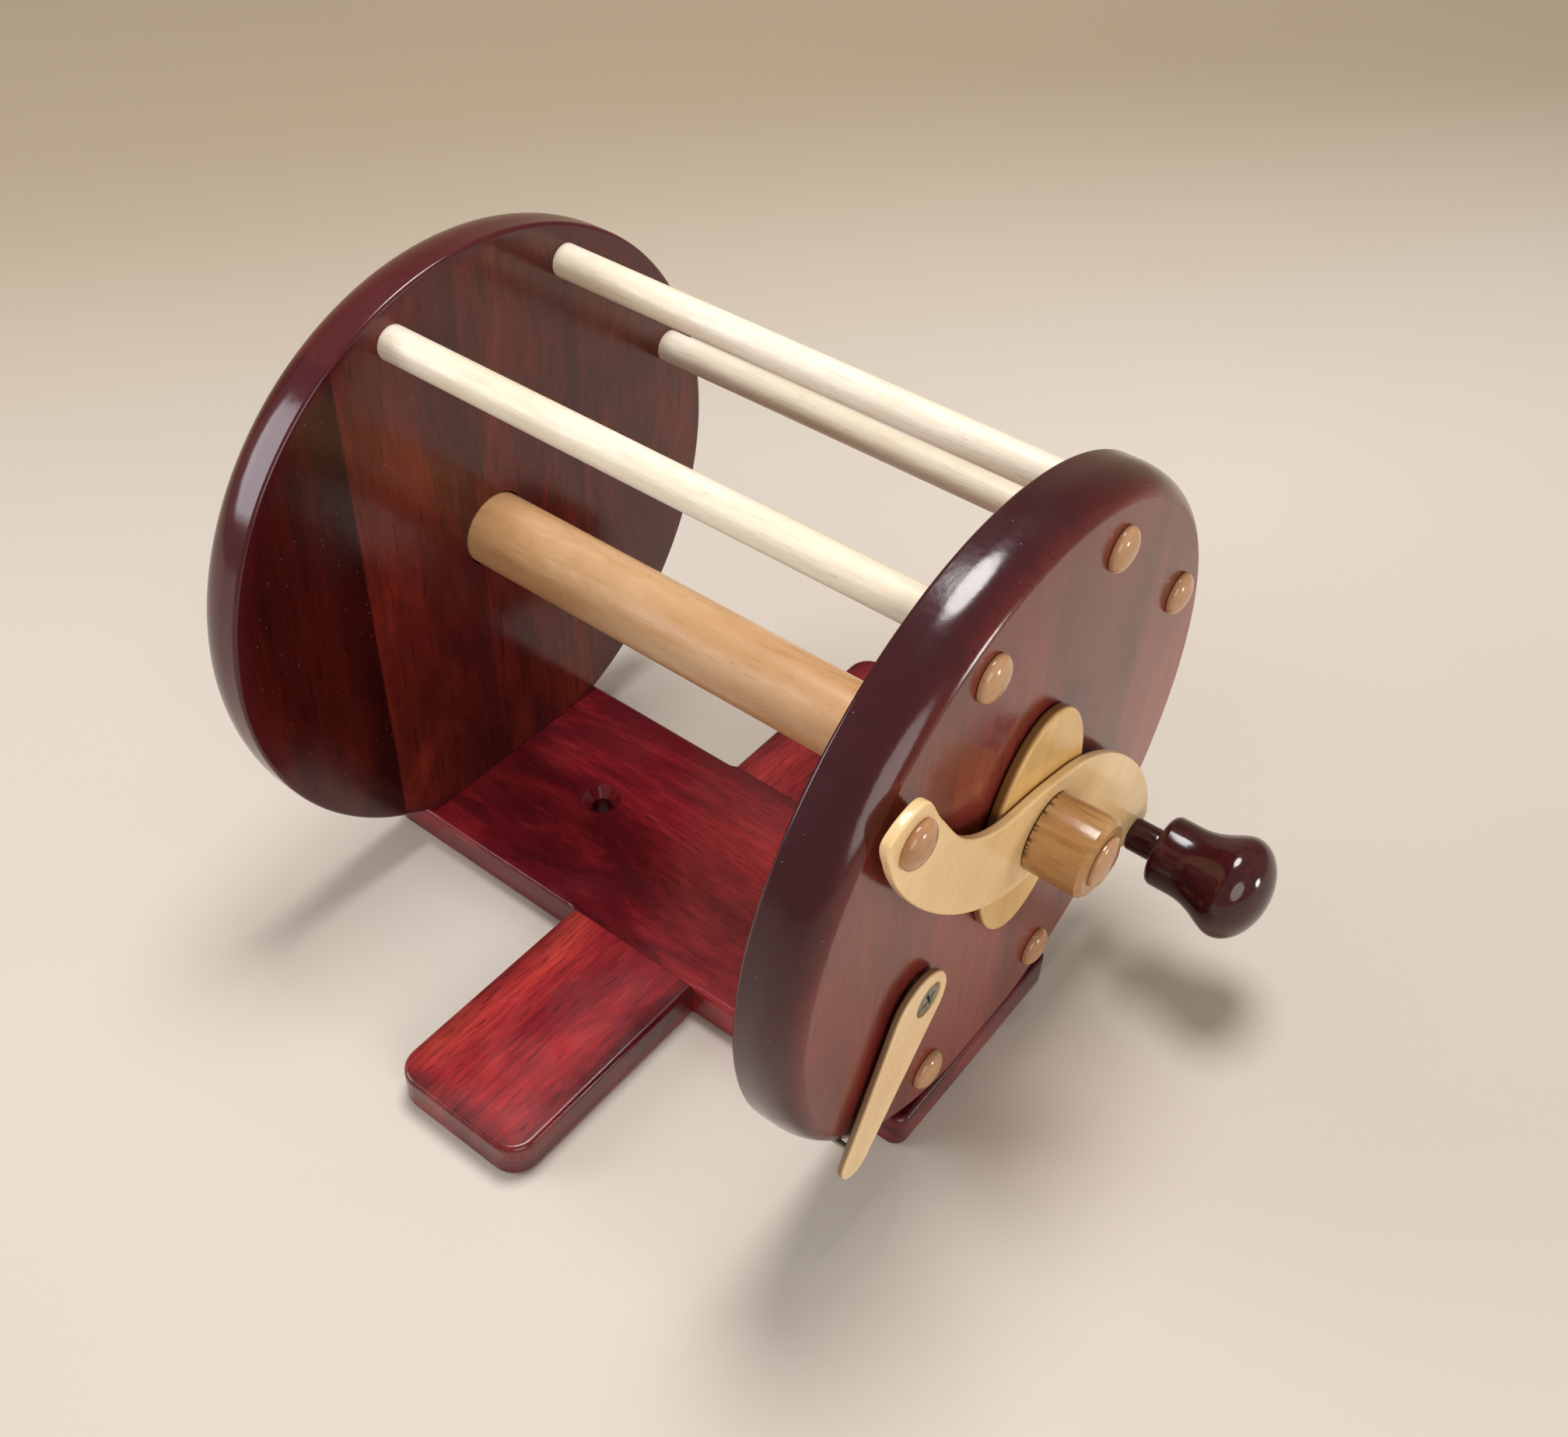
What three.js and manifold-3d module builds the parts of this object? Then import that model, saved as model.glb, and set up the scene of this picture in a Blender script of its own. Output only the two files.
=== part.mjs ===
// Roll holder in the shape of a conventional fishing reel: two discs on a cross-shaped foot,
// three pillars, a spindle for the roll, and a crank, knob and lever on the front disc.
// Millimetres, +Z up. +X runs along the spindle towards the crank, and +Y towards the far arm.
// The origin is in the middle of the rail's underside, midway between the discs.
import * as THREE from 'three';
import { mergeVertices } from 'three/addons/utils/BufferGeometryUtils.js';
import Module from 'manifold-3d';

const wasm = await Module();
wasm.setup();

// Gaps between pieces
const seam = 0.3; // two pieces that touch
const turnGap = 0.4; // a piece that turns or slides in its hole, all round
const sweepGap = 0.35; // what turns in front of the disc, to what stands on it

// Foot
const innerWidth = 133.4; // between the discs' facing sides
const railWidth = 63.5;
const railThickness = 10.1;
const railProud = 0.5; // how far the rail's ends pass the discs' outer faces
const railCorner = 3.5; // corner radius in plan
const armWidth = 38.1;
const armLength = 59.4; // out from the rail's side
const armShift = 1.6; // the arms stand a little nearer to the front disc
const armCorner = 6.5;
const footRound = 1.3; // eased edges of rail and arms
const armPinRadius = 4;
const armPinLength = 30;
const armPinPitch = 20; // between the two pins of one arm
const mountHoleX = 36.8; // the two mounting holes, each side of the middle
const mountHoleRadius = 2.6;
const mountSinkRadius = 4.8;
const mountSinkDepth = 2.6;

// Discs
const discRadius = 76.2;
const discThickness = 13.6;
const discFlatDepth = 5.7; // how deep the flat is cut into the disc's lower edge
const discRound = 4.7; // round-over of the outer edge, inwards on the face
const discRoundDepth = 9.2; // and back along the rim
const discEase = 0.9; // eased inner edge
const discScrewPitch = 30; // between the two screws of one disc
const discScrewRadius = 2.1;
const discScrewHeadRadius = 4.2;
const discScrewHeadHeight = 2.4;
const discScrewLength = 32;
const discScrewSink = 0.6; // how deep the screw's head lies below the underside

// Pillars
const pillarRadius = 3.95;
const pillarInset = 8.4; // from the disc's rim to a pillar's axis
const pillarSeat = 7; // how far a pillar enters a disc
const firstPillarAngle = 20.6; // degrees up from +Y
const pillarStep = 44.6;
const pillarCount = 3;
const dowelEase = 0.6; // chamfer at the ends of pillars and arm pins

const headRim = 0.25; // share of a screw head's height that is its upright rim

// Domed buttons
const buttonRadius = 4.8;
const buttonDome = 2.5;
const buttonRim = 0.5; // upright edge below a button's dome
const buttonStemRadius = 2.4;
const buttonStemLength = 4.5;
const faceButtonInset = 13.8; // from the disc's rim to a button's axis
const faceButtonAngles = [24.1, 70.5, 112.5, 247.4, 289.6];

// Spindle and what turns with it
const axisLift = 3.0; // the spindle's axis above the discs' centre
const spindleRadius = 9.15;
const spindleSeat = 8; // how far it enters the rear disc
const spindleEase = 0.8;
const tenonRadius = 5;
const tenonReach = 6; // how far the tenon enters the hub
const plateRound = 0.55; // eased edges of drag plate and crank plate
const dragThickness = 2.6;
const dragHalfWidth = 18;
const dragHalfHeight = 29.2;
const crankThickness = 2.2;
const crankReach = 76.2; // from the axis to the crank's end
const crankWaist = 17.9; // from the axis's line to the crank's bulged side
const crankAngle = -39.6; // direction of the knob's arm, degrees from +Y towards +Z
const crankButtonInset = 9.7; // from the crank's end
const crankButtonAside = -1.8;
const crankButtonRadius = 4.9;
const crankButtonDome = 2.5;
const crankButtonFloor = 0.6; // wood left behind the button's hole
const hubRadius = 8.9;
const hubLength = 12.9;
const hubEase = 1.1;
const hubButtonRadius = 5.6;
const hubButtonDome = 1.75;
const hubScrewRadius = 1.9;
const hubScrewHeadRadius = 3.6;
const hubScrewHeadHeight = 1.8;
const hubScrewSeat = 16; // how far it enters the spindle
const hubSinkDepth = 5.2; // counterbore for the screw's head and the button's stem

// Knob
const knobInset = 5.6; // from the crank's end to the knob's axis
const knobAside = -1.6;
const stemRadius = 4.1;
const stemLength = 7.3; // between the crank and the knob
const knobScrewRadius = 1.5;
const knobScrewHeadRadius = 2.9;
const knobScrewHeadHeight = 1.3;
const knobScrewSeat = 15; // how far the screw enters the knob
const knobScrewSink = 0.15; // how deep its head lies behind the crank's back
const collarRadius = 8.95;
const collarLength = 5.75;
const collarEase = 2;
const bulbRadius = 12.8;
const bulbStart = 19.15; // from the collar's start to where the bulb is widest
const knobLength = 27.85;
const flarePower = 1.4; // above 1, the flare starts slowly and swells late

// Lever
const leverPivotInset = 36.9; // from the disc's rim to the lever's screw
const leverPivotAngle = 211.6;
const leverDirection = 240.3; // from the head's centre to the thin end's centre
const leverReach = 36.3; // between those two centres
const leverHeadRadius = 9.3;
const leverTipRadius = 4.8;
const leverScrewBack = 2.5; // the screw sits this far behind the head's centre
const leverScrewAside = 1.4; // and this far to its side
const leverThickness = 1.9;
const leverRound = 0.5;
const washerRadius = 4.2;
const washerThickness = 0.4;
const leverScrewRadius = 1.7;
const leverScrewHeadRadius = 3.9;
const leverScrewHeadHeight = 1.5;
const leverScrewSeat = 10;
const recessDepth = 0.9; // the cross in its head
const recessTurn = 17;
const recessReach = 1.1; // the cross's length and slot width, as shares of the head's radius
const recessSlot = 0.24;
const restPinRadius = 0.7;
const restPinInset = 2.1; // from the disc's rim
const restPinAngle = 222;
const restPinSeat = 7;

// Places worked out from the sizes above
const innerFace = innerWidth / 2;
const outerFace = innerFace + discThickness;
const discCentre = railThickness + seam + discRadius - discFlatDepth;
const axisHeight = discCentre + axisLift;
const dragFace = outerFace + seam;
const leverBack = outerFace + seam + washerThickness + seam;
const leverFront = leverBack + leverThickness;
const crankBack = Math.max(dragFace + dragThickness, leverFront, outerFace + seam + buttonDome) + sweepGap;
const hubFace = crankBack + crankThickness + seam; // the hub, the stem and the crank's button sit here
const knobFace = hubFace + stemLength;

const radians = (degrees) => (degrees * Math.PI) / 180;
const polar = (radius, degrees) => [radius * Math.cos(radians(degrees)), radius * Math.sin(radians(degrees))];

// ---- Solids ----

// Position-only, welded geometry with its thin slivers dropped, as a manifold-3d solid.
function solid(geometry) {
  const plain = new THREE.BufferGeometry();
  plain.setAttribute('position', geometry.getAttribute('position').clone());
  if (geometry.index) plain.setIndex(geometry.index.clone());
  const welded = mergeVertices(plain, 1e-4);
  const index = welded.index.array;
  const faces = [];
  for (let i = 0; i < index.length; i += 3) {
    const [a, b, c] = [index[i], index[i + 1], index[i + 2]];
    if (a !== b && b !== c && c !== a) faces.push(a, b, c);
  }
  const vertProperties = welded.getAttribute('position').array;
  return new wasm.Manifold(new wasm.Mesh({ numProp: 3, vertProperties, triVerts: new Uint32Array(faces) }));
}

function geometryOf(body) {
  const { vertProperties, triVerts } = body.getMesh();
  const geometry = new THREE.BufferGeometry();
  geometry.setAttribute('position', new THREE.BufferAttribute(vertProperties, 3));
  geometry.setIndex(new THREE.BufferAttribute(triVerts, 1));
  const faceted = geometry.toNonIndexed();
  faceted.computeVertexNormals();
  return faceted;
}

// A round piece turned about local Z from [radius, z] points that go up and close on the axis.
function turned(profile, segments = 32) {
  const points = profile.map(([radius, z]) => new THREE.Vector2(radius, z));
  return new THREE.LatheGeometry(points, segments).rotateX(Math.PI / 2);
}

const pin = (radius, from, to, segments = 32) =>
  turned([[0, from], [radius, from], [radius, to], [0, to]], segments);

// A round piece with both ends eased by a small chamfer.
const dowel = (radius, from, to, ease, segments = 32) =>
  turned([[0, from], [radius - ease, from], [radius, from + ease], [radius, to - ease],
    [radius - ease, to], [0, to]], segments);

const boreAt = (radius, from, to, u = 0, v = 0, segments = 32) =>
  solid(pin(radius, from, to, segments).translate(u, v, 0));

// A flat board or plate from an outline, eased all round, from z = base upwards.
function plate(outline, base, thickness, ease, curveSegments = 8) {
  const settings = {
    depth: thickness - 2 * ease,
    bevelEnabled: true,
    bevelThickness: ease,
    bevelSize: ease,
    bevelOffset: -ease,
    bevelSegments: 1,
    curveSegments,
  };
  return new THREE.ExtrudeGeometry(outline, settings).translate(0, 0, base + ease);
}

// A rectangle in plan; corners is the radius at [left front, right front, right back, left back].
function cornered(x0, x1, y0, y1, corners) {
  const [a, b, c, d] = corners;
  const outline = new THREE.Shape().moveTo(x0 + a, y0).lineTo(x1 - b, y0);
  if (b) outline.absarc(x1 - b, y0 + b, b, -Math.PI / 2, 0);
  outline.lineTo(x1, y1 - c);
  if (c) outline.absarc(x1 - c, y1 - c, c, 0, Math.PI / 2);
  outline.lineTo(x0 + d, y1);
  if (d) outline.absarc(x0 + d, y1 - d, d, Math.PI / 2, Math.PI);
  outline.lineTo(x0, y0 + a);
  if (a) outline.absarc(x0 + a, y0 + a, a, Math.PI, 1.5 * Math.PI);
  return outline;
}

// Two round ends joined by their common tangents; the first end's centre is at (x, y).
function paddle(x, y, reach, headRadius, tipRadius) {
  const lean = Math.asin((headRadius - tipRadius) / reach);
  const outline = new THREE.Shape();
  outline.absarc(x + reach, y, tipRadius, -Math.PI / 2 + lean, Math.PI / 2 - lean);
  outline.absarc(x, y, headRadius, Math.PI / 2 - lean, 1.5 * Math.PI + lean);
  return outline;
}

// ---- Scene helpers ----

const holder = new THREE.Group();

// In this group local Z runs along the spindle, local X is the part's +Y and local Y its +Z.
const reel = new THREE.Group();
reel.quaternion.setFromAxisAngle(new THREE.Vector3(1, 1, 1).normalize(), (2 * Math.PI) / 3);
holder.add(reel);

const finishes = {
  redStain: { color: 0x7a1620, roughness: 0.22 },
  darkStain: { color: 0x4a1418, roughness: 0.2 },
  paleMaple: { color: 0xe6d6b4, roughness: 0.4 },
  honeyWood: { color: 0xc99a5c, roughness: 0.38 },
  peachButton: { color: 0xd2a077, roughness: 0.22 },
  amberPlate: { color: 0xc58f45, roughness: 0.3 },
  creamPlate: { color: 0xdcb981, roughness: 0.35 },
  brownHub: { color: 0x9a6433, roughness: 0.35 },
  knobLacquer: { color: 0x3a0f14, roughness: 0.12 },
  steel: { color: 0x8b8b80, roughness: 0.4, metalness: 1 },
};

function add(group, name, geometry, finish) {
  const mesh = new THREE.Mesh(geometry, new THREE.MeshStandardMaterial(finishes[finish]));
  mesh.name = name;
  group.add(mesh);
  return mesh;
}

// ---- Foot ----

const armX = [armShift - armWidth / 2, armShift + armWidth / 2];
const armPinSpots = [-1, 1].map((side) => armShift + (side * armPinPitch) / 2);

// A pin hole through a side of the rail or the inner end of an arm, along Y.
function crossBore(radius, x, from, to) {
  const bore = new THREE.CylinderGeometry(radius, radius, to - from, 16);
  return solid(bore.translate(x, (from + to) / 2, railThickness / 2));
}

function railBoard() {
  const end = outerFace + railProud;
  const corners = [railCorner, railCorner, railCorner, railCorner];
  const outline = cornered(-end, end, -railWidth / 2, railWidth / 2, corners);
  let board = solid(plate(outline, 0, railThickness, footRound, 5));
  for (const side of [-1, 1]) {
    const x = side * mountHoleX;
    board = board.subtract(boreAt(mountHoleRadius, -1, railThickness + 1, x, 0, 20));
    const sinkFloor = railThickness - mountSinkDepth;
    const sink = turned([[0, sinkFloor], [mountHoleRadius, sinkFloor], [mountSinkRadius, railThickness],
      [mountSinkRadius, railThickness + 1], [0, railThickness + 1]], 20);
    board = board.subtract(solid(sink.translate(x, 0, 0)));
    for (const pinX of armPinSpots) {
      const ends = [railWidth / 2 - armPinLength / 2 - seam, railWidth / 2 + 1].map((y) => side * y);
      board = board.subtract(crossBore(armPinRadius + seam, pinX, Math.min(...ends), Math.max(...ends)));
    }
    for (const [screwX, screwY] of discScrewSpots(side)) {
      board = board.subtract(boreAt(discScrewRadius + seam, -1, railThickness + 1, screwX, screwY, 12));
      const sinkTop = discScrewSink + discScrewHeadHeight + seam;
      board = board.subtract(boreAt(discScrewHeadRadius + seam, -1, sinkTop, screwX, screwY, 16));
    }
  }
  return geometryOf(board);
}

function arm(side) {
  const inner = side * (railWidth / 2 + seam);
  const outer = side * (railWidth / 2 + seam + armLength);
  const corners = side < 0 ? [armCorner, armCorner, 0, 0] : [0, 0, armCorner, armCorner];
  const outline = cornered(armX[0], armX[1], Math.min(inner, outer), Math.max(inner, outer), corners);
  let board = solid(plate(outline, 0, railThickness, footRound, 6));
  const ends = [railWidth / 2 - 1, railWidth / 2 + armPinLength / 2 + seam].map((y) => side * y);
  for (const x of armPinSpots) {
    board = board.subtract(crossBore(armPinRadius + seam, x, Math.min(...ends), Math.max(...ends)));
  }
  return geometryOf(board);
}

// Where the screws of the disc at one end (side -1 or 1) come up through the rail.
function discScrewSpots(side) {
  const x = side * (innerFace + discThickness / 2);
  return [-1, 1].map((half) => [x, (half * discScrewPitch) / 2]);
}

// A screw that points up local Z from a flat head at z = 0.
function screwShape(radius, headRadius, headHeight, length) {
  return turned([[0, 0], [headRadius, 0], [headRadius, headHeight * headRim], [radius, headHeight],
    [radius, length - 2 * radius], [0, length]], 16);
}

function buildFoot() {
  add(holder, 'rail_board', railBoard(), 'redStain');
  for (const [side, place] of [[-1, 'near'], [1, 'far']]) {
    add(holder, `arm_${place}`, arm(side), 'redStain');
    armPinSpots.forEach((x, i) => {
      const wood = dowel(armPinRadius, -armPinLength / 2, armPinLength / 2, dowelEase, 16);
      const piece = add(holder, `arm_pin_${place}_${i + 1}`, wood, 'paleMaple');
      piece.rotation.x = Math.PI / 2;
      piece.position.set(x, side * (railWidth / 2), railThickness / 2);
    });
  }
}

// ---- Discs and what is fixed to them ----

const pillarAngles = Array.from({ length: pillarCount }, (_, i) => firstPillarAngle + i * pillarStep);

// A disc's edge as [radius, distance from the inner face], eased inside and rounded over outside.
function discProfile() {
  const points = [[0, 0], [discRadius - discEase, 0], [discRadius, discEase]];
  const roundSteps = 5;
  for (let i = 0; i <= roundSteps; i++) {
    const a = (i / roundSteps) * (Math.PI / 2);
    const depth = discThickness - discRoundDepth * (1 - Math.sin(a));
    points.push([discRadius - discRound * (1 - Math.cos(a)), depth]);
  }
  points.push([0, discThickness]);
  return points;
}

// A blank disc in the reel group, side -1 for the rear and 1 for the front, cut flat below.
function discBlank(side) {
  let profile = discProfile().map(([radius, depth]) => [radius, side * (innerFace + depth)]);
  if (side < 0) profile = profile.reverse();
  const blank = solid(turned(profile, 72).translate(0, discCentre, 0));
  const size = 2 * discRadius + 10;
  const below = new THREE.BoxGeometry(size, size, size * 3).translate(0, railThickness + seam - size / 2, 0);
  return blank.subtract(solid(below));
}

function screwBores(side) {
  const [from, to] = [railThickness, discScrewSink + discScrewLength + 2 * seam];
  return discScrewSpots(side).map(([x, y]) => {
    const bore = new THREE.CylinderGeometry(discScrewRadius + seam, discScrewRadius + seam, to - from, 12);
    return solid(bore.translate(y, (from + to) / 2, x));
  });
}

function pillarBores(side) {
  const near = side * (innerFace - 1);
  const deep = side * (innerFace + pillarSeat + seam);
  return pillarAngles.map((angle) => {
    const [u, v] = polar(discRadius - pillarInset, angle);
    return boreAt(pillarRadius + seam, Math.min(near, deep), Math.max(near, deep), u, discCentre + v, 16);
  });
}

function rearDisc() {
  let disc = discBlank(-1);
  const floor = -innerFace - spindleSeat - seam;
  const socket = boreAt(spindleRadius + turnGap, floor, -innerFace + 1, 0, axisHeight, 32);
  for (const cut of [socket, ...pillarBores(-1), ...screwBores(-1)]) disc = disc.subtract(cut);
  return geometryOf(disc);
}

function faceButtonSpots() {
  return faceButtonAngles.map((angle) => {
    const [u, v] = polar(discRadius - faceButtonInset, angle);
    return [u, discCentre + v];
  });
}

function leverPivot() {
  const [u, v] = polar(discRadius - leverPivotInset, leverPivotAngle);
  return [u, discCentre + v];
}

function restPinSpot() {
  const [u, v] = polar(discRadius - restPinInset, restPinAngle);
  return [u, discCentre + v];
}

function frontDisc() {
  let disc = discBlank(1);
  const cuts = [boreAt(spindleRadius + turnGap, innerFace - 1, outerFace + 1, 0, axisHeight, 32)];
  cuts.push(...pillarBores(1), ...screwBores(1));
  for (const [u, v] of faceButtonSpots()) {
    cuts.push(boreAt(buttonStemRadius + seam, outerFace - buttonStemLength, outerFace + 1, u, v, 14));
  }
  const [leverU, leverV] = leverPivot();
  const leverFloor = outerFace - leverScrewSeat - seam;
  cuts.push(boreAt(leverScrewRadius + seam, leverFloor, outerFace + 1, leverU, leverV, 12));
  const [pinU, pinV] = restPinSpot();
  cuts.push(boreAt(restPinRadius + seam, outerFace - restPinSeat, outerFace + 1, pinU, pinV, 8));
  for (const cut of cuts) disc = disc.subtract(cut);
  return geometryOf(disc);
}

// A mushroom button: a low dome on a short stem, its seat at z = 0.
function button(radius, dome, stemRadius, stemLength, segments = 24) {
  const points = [[0, -stemLength], [stemRadius, -stemLength], [stemRadius, 0], [radius, 0]];
  const steps = 4;
  for (let i = 0; i < steps; i++) {
    const a = (i / steps) * (Math.PI / 2);
    points.push([radius * Math.cos(a), buttonRim + (dome - buttonRim) * Math.sin(a)]);
  }
  points.push([0, dome]);
  return turned(points, segments);
}

function buildDiscs() {
  add(reel, 'rear_disc', rearDisc(), 'darkStain');
  add(reel, 'front_disc', frontDisc(), 'darkStain');
  const half = innerFace + pillarSeat;
  pillarAngles.forEach((angle, i) => {
    const [u, v] = polar(discRadius - pillarInset, angle);
    const piece = add(reel, `pillar_${i + 1}`, dowel(pillarRadius, -half, half, dowelEase, 24), 'paleMaple');
    piece.position.set(u, discCentre + v, 0);
  });
  faceButtonSpots().forEach(([u, v], i) => {
    const shape = button(buttonRadius, buttonDome, buttonStemRadius, buttonStemLength - seam);
    const piece = add(reel, `face_button_${i + 1}`, shape, 'peachButton');
    piece.position.set(u, v, outerFace + seam);
  });
  for (const [side, place] of [[-1, 'rear'], [1, 'front']]) {
    discScrewSpots(side).forEach(([x, y], i) => {
      const shape = screwShape(discScrewRadius, discScrewHeadRadius, discScrewHeadHeight, discScrewLength);
      const piece = add(holder, `disc_screw_${place}_${i + 1}`, shape, 'steel');
      piece.position.set(x, y, discScrewSink);
    });
  }
}

// ---- Lever ----

function buildLever() {
  const [u, v] = leverPivot();
  const screwBore = boreAt(leverScrewRadius + turnGap, leverBack - 1, leverFront + 1, 0, 0, 20);
  const sinkFloor = leverFront - leverScrewHeadHeight - seam;
  const sinkRim = leverFront - leverScrewHeadHeight * headRim - seam;
  const sinkRadius = leverScrewHeadRadius + seam;
  const sink = turned([[0, sinkFloor], [leverScrewRadius, sinkFloor], [sinkRadius, sinkRim],
    [sinkRadius, leverFront + 1], [0, leverFront + 1]], 24);
  const outline = paddle(leverScrewBack, -leverScrewAside, leverReach, leverHeadRadius, leverTipRadius);
  const blank = solid(plate(outline, leverBack, leverThickness, leverRound, 10));
  const body = blank.subtract(screwBore).subtract(solid(sink));
  const lever = add(reel, 'lever', geometryOf(body), 'creamPlate');
  lever.position.set(u, v, 0);
  lever.rotation.z = radians(leverDirection);

  const ring = boreAt(washerRadius, outerFace + seam, outerFace + seam + washerThickness, 0, 0, 28);
  const hole = boreAt(leverScrewRadius + seam, outerFace, outerFace + 2, 0, 0, 20);
  add(reel, 'lever_washer', geometryOf(ring.subtract(hole)), 'steel').position.set(u, v, 0);

  const length = leverScrewSeat + leverFront - outerFace;
  const screw = screwShape(leverScrewRadius, leverScrewHeadRadius, leverScrewHeadHeight, length);
  const piece = add(reel, 'lever_screw', crossRecess(screw.rotateX(Math.PI), leverScrewHeadRadius), 'steel');
  piece.position.set(u, v, leverFront);

  const [pinU, pinV] = restPinSpot();
  const restPin = pin(restPinRadius, -restPinSeat + seam, leverBack - outerFace - seam, 8);
  const rest = add(reel, 'lever_rest_pin', restPin, 'steel');
  rest.position.set(pinU, pinV, outerFace);
}

// Cuts a cross into a screw head whose top is at z = 0.
function crossRecess(screw, headRadius) {
  let head = solid(screw);
  for (const turn of [recessTurn, recessTurn + 90]) {
    const slot = new THREE.BoxGeometry(headRadius * recessReach, headRadius * recessSlot, 2 * recessDepth);
    head = head.subtract(solid(slot.rotateZ(radians(turn))));
  }
  return geometryOf(head);
}

// ---- Spindle, crank and knob ----

function spindle() {
  const [start, shoulder, end] = [-innerFace - spindleSeat, outerFace, hubFace + tenonReach];
  const profile = [[0, start], [spindleRadius - spindleEase, start], [spindleRadius, start + spindleEase],
    [spindleRadius, shoulder], [tenonRadius, shoulder], [tenonRadius, end], [0, end]];
  const bar = solid(turned(profile, 40));
  const hole = boreAt(hubScrewRadius + seam, outerFace - hubScrewSeat - seam, end + 1, 0, 0, 16);
  return geometryOf(bar.subtract(hole));
}

function dragPlate() {
  const outline = new THREE.Shape().absellipse(0, 0, dragHalfWidth, dragHalfHeight, 0, 2 * Math.PI);
  const hole = boreAt(tenonRadius + turnGap, dragFace - 1, dragFace + dragThickness + 1, 0, 0, 32);
  return geometryOf(solid(plate(outline, dragFace, dragThickness, plateRound, 20)).subtract(hole));
}

// The crank's S shape: one side of it, then the same points turned half round the axis.
function crankOutline() {
  const side = [[-crankReach, -2.6], [6 - crankReach, 5.6], [17 - crankReach, 2.6], [-42, -1.6], [-27, 0.1],
    [-9, 9.4], [7, crankWaist - 2], [24, crankWaist], [44, crankWaist - 1.7], [crankReach - 15.5, 11.9],
    [crankReach - 5.4, 7.1]];
  const all = [...side, ...side.map(([along, across]) => [-along, -across])];
  const curve = new THREE.CatmullRomCurve3(all.map(([x, y]) => new THREE.Vector3(x, y, 0)), true);
  const points = curve.getPoints(72).slice(0, -1);
  return new THREE.Shape(points.map(({ x, y }) => new THREE.Vector2(x, y)).reverse());
}

const knobSpot = [crankReach - knobInset, knobAside];
const crankButtonSpot = [crankButtonInset - crankReach, crankButtonAside];

function crankPlate() {
  const [from, to] = [crankBack - 1, hubFace + 1];
  let body = solid(plate(crankOutline(), crankBack, crankThickness, plateRound));
  body = body.subtract(boreAt(tenonRadius + seam, from, to, 0, 0, 32));
  body = body.subtract(boreAt(knobScrewRadius + turnGap, from, to, ...knobSpot, 16));
  const sinkRadius = knobScrewHeadRadius + turnGap;
  const sinkRim = crankBack + knobScrewHeadHeight * headRim + turnGap;
  const sinkFloor = crankBack + knobScrewHeadHeight + turnGap;
  const sink = turned([[0, from], [sinkRadius, from], [sinkRadius, sinkRim], [knobScrewRadius, sinkFloor],
    [0, sinkFloor]], 20);
  body = body.subtract(solid(sink.translate(...knobSpot, 0)));
  const buttonFloor = crankBack + crankButtonFloor;
  return geometryOf(body.subtract(boreAt(buttonStemRadius + seam, buttonFloor, to, ...crankButtonSpot, 20)));
}

function hub() {
  const [start, end] = [hubFace, hubFace + hubLength];
  const profile = [[0, start], [hubRadius, start], [hubRadius, end - hubEase],
    [hubRadius - hubEase, end], [0, end]];
  let body = solid(turned(profile, 40));
  body = body.subtract(boreAt(tenonRadius + seam, start - 1, start + tenonReach + seam, 0, 0, 32));
  body = body.subtract(boreAt(hubScrewRadius + seam, start, end + 1, 0, 0, 16));
  return geometryOf(body.subtract(boreAt(hubScrewHeadRadius + seam, end - hubSinkDepth, end + 1, 0, 0, 24)));
}

function buildSpindle() {
  const turning = new THREE.Group();
  turning.position.y = axisHeight;
  reel.add(turning);
  add(turning, 'spindle', spindle(), 'honeyWood');
  add(turning, 'drag_plate', dragPlate(), 'amberPlate');
  add(turning, 'hub', hub(), 'brownHub');

  const hubEnd = hubFace + hubLength;
  const screwTop = hubEnd - hubSinkDepth + hubScrewHeadHeight + seam;
  const screwLength = screwTop - outerFace + hubScrewSeat;
  const screw = screwShape(hubScrewRadius, hubScrewHeadRadius, hubScrewHeadHeight, screwLength);
  add(turning, 'hub_screw', screw.rotateX(Math.PI), 'steel').position.z = screwTop;
  const cap = button(hubButtonRadius, hubButtonDome, hubScrewHeadRadius, hubEnd - screwTop, 32);
  add(turning, 'hub_button', cap, 'peachButton').position.z = hubEnd + seam;

  const crank = new THREE.Group();
  crank.rotation.z = radians(crankAngle);
  turning.add(crank);
  add(crank, 'crank_plate', crankPlate(), 'creamPlate');
  const capStem = crankThickness - crankButtonFloor;
  const capShape = button(crankButtonRadius, crankButtonDome, buttonStemRadius, capStem);
  add(crank, 'crank_button', capShape, 'peachButton').position.set(...crankButtonSpot, hubFace);
  buildKnob(crank);
}

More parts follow.
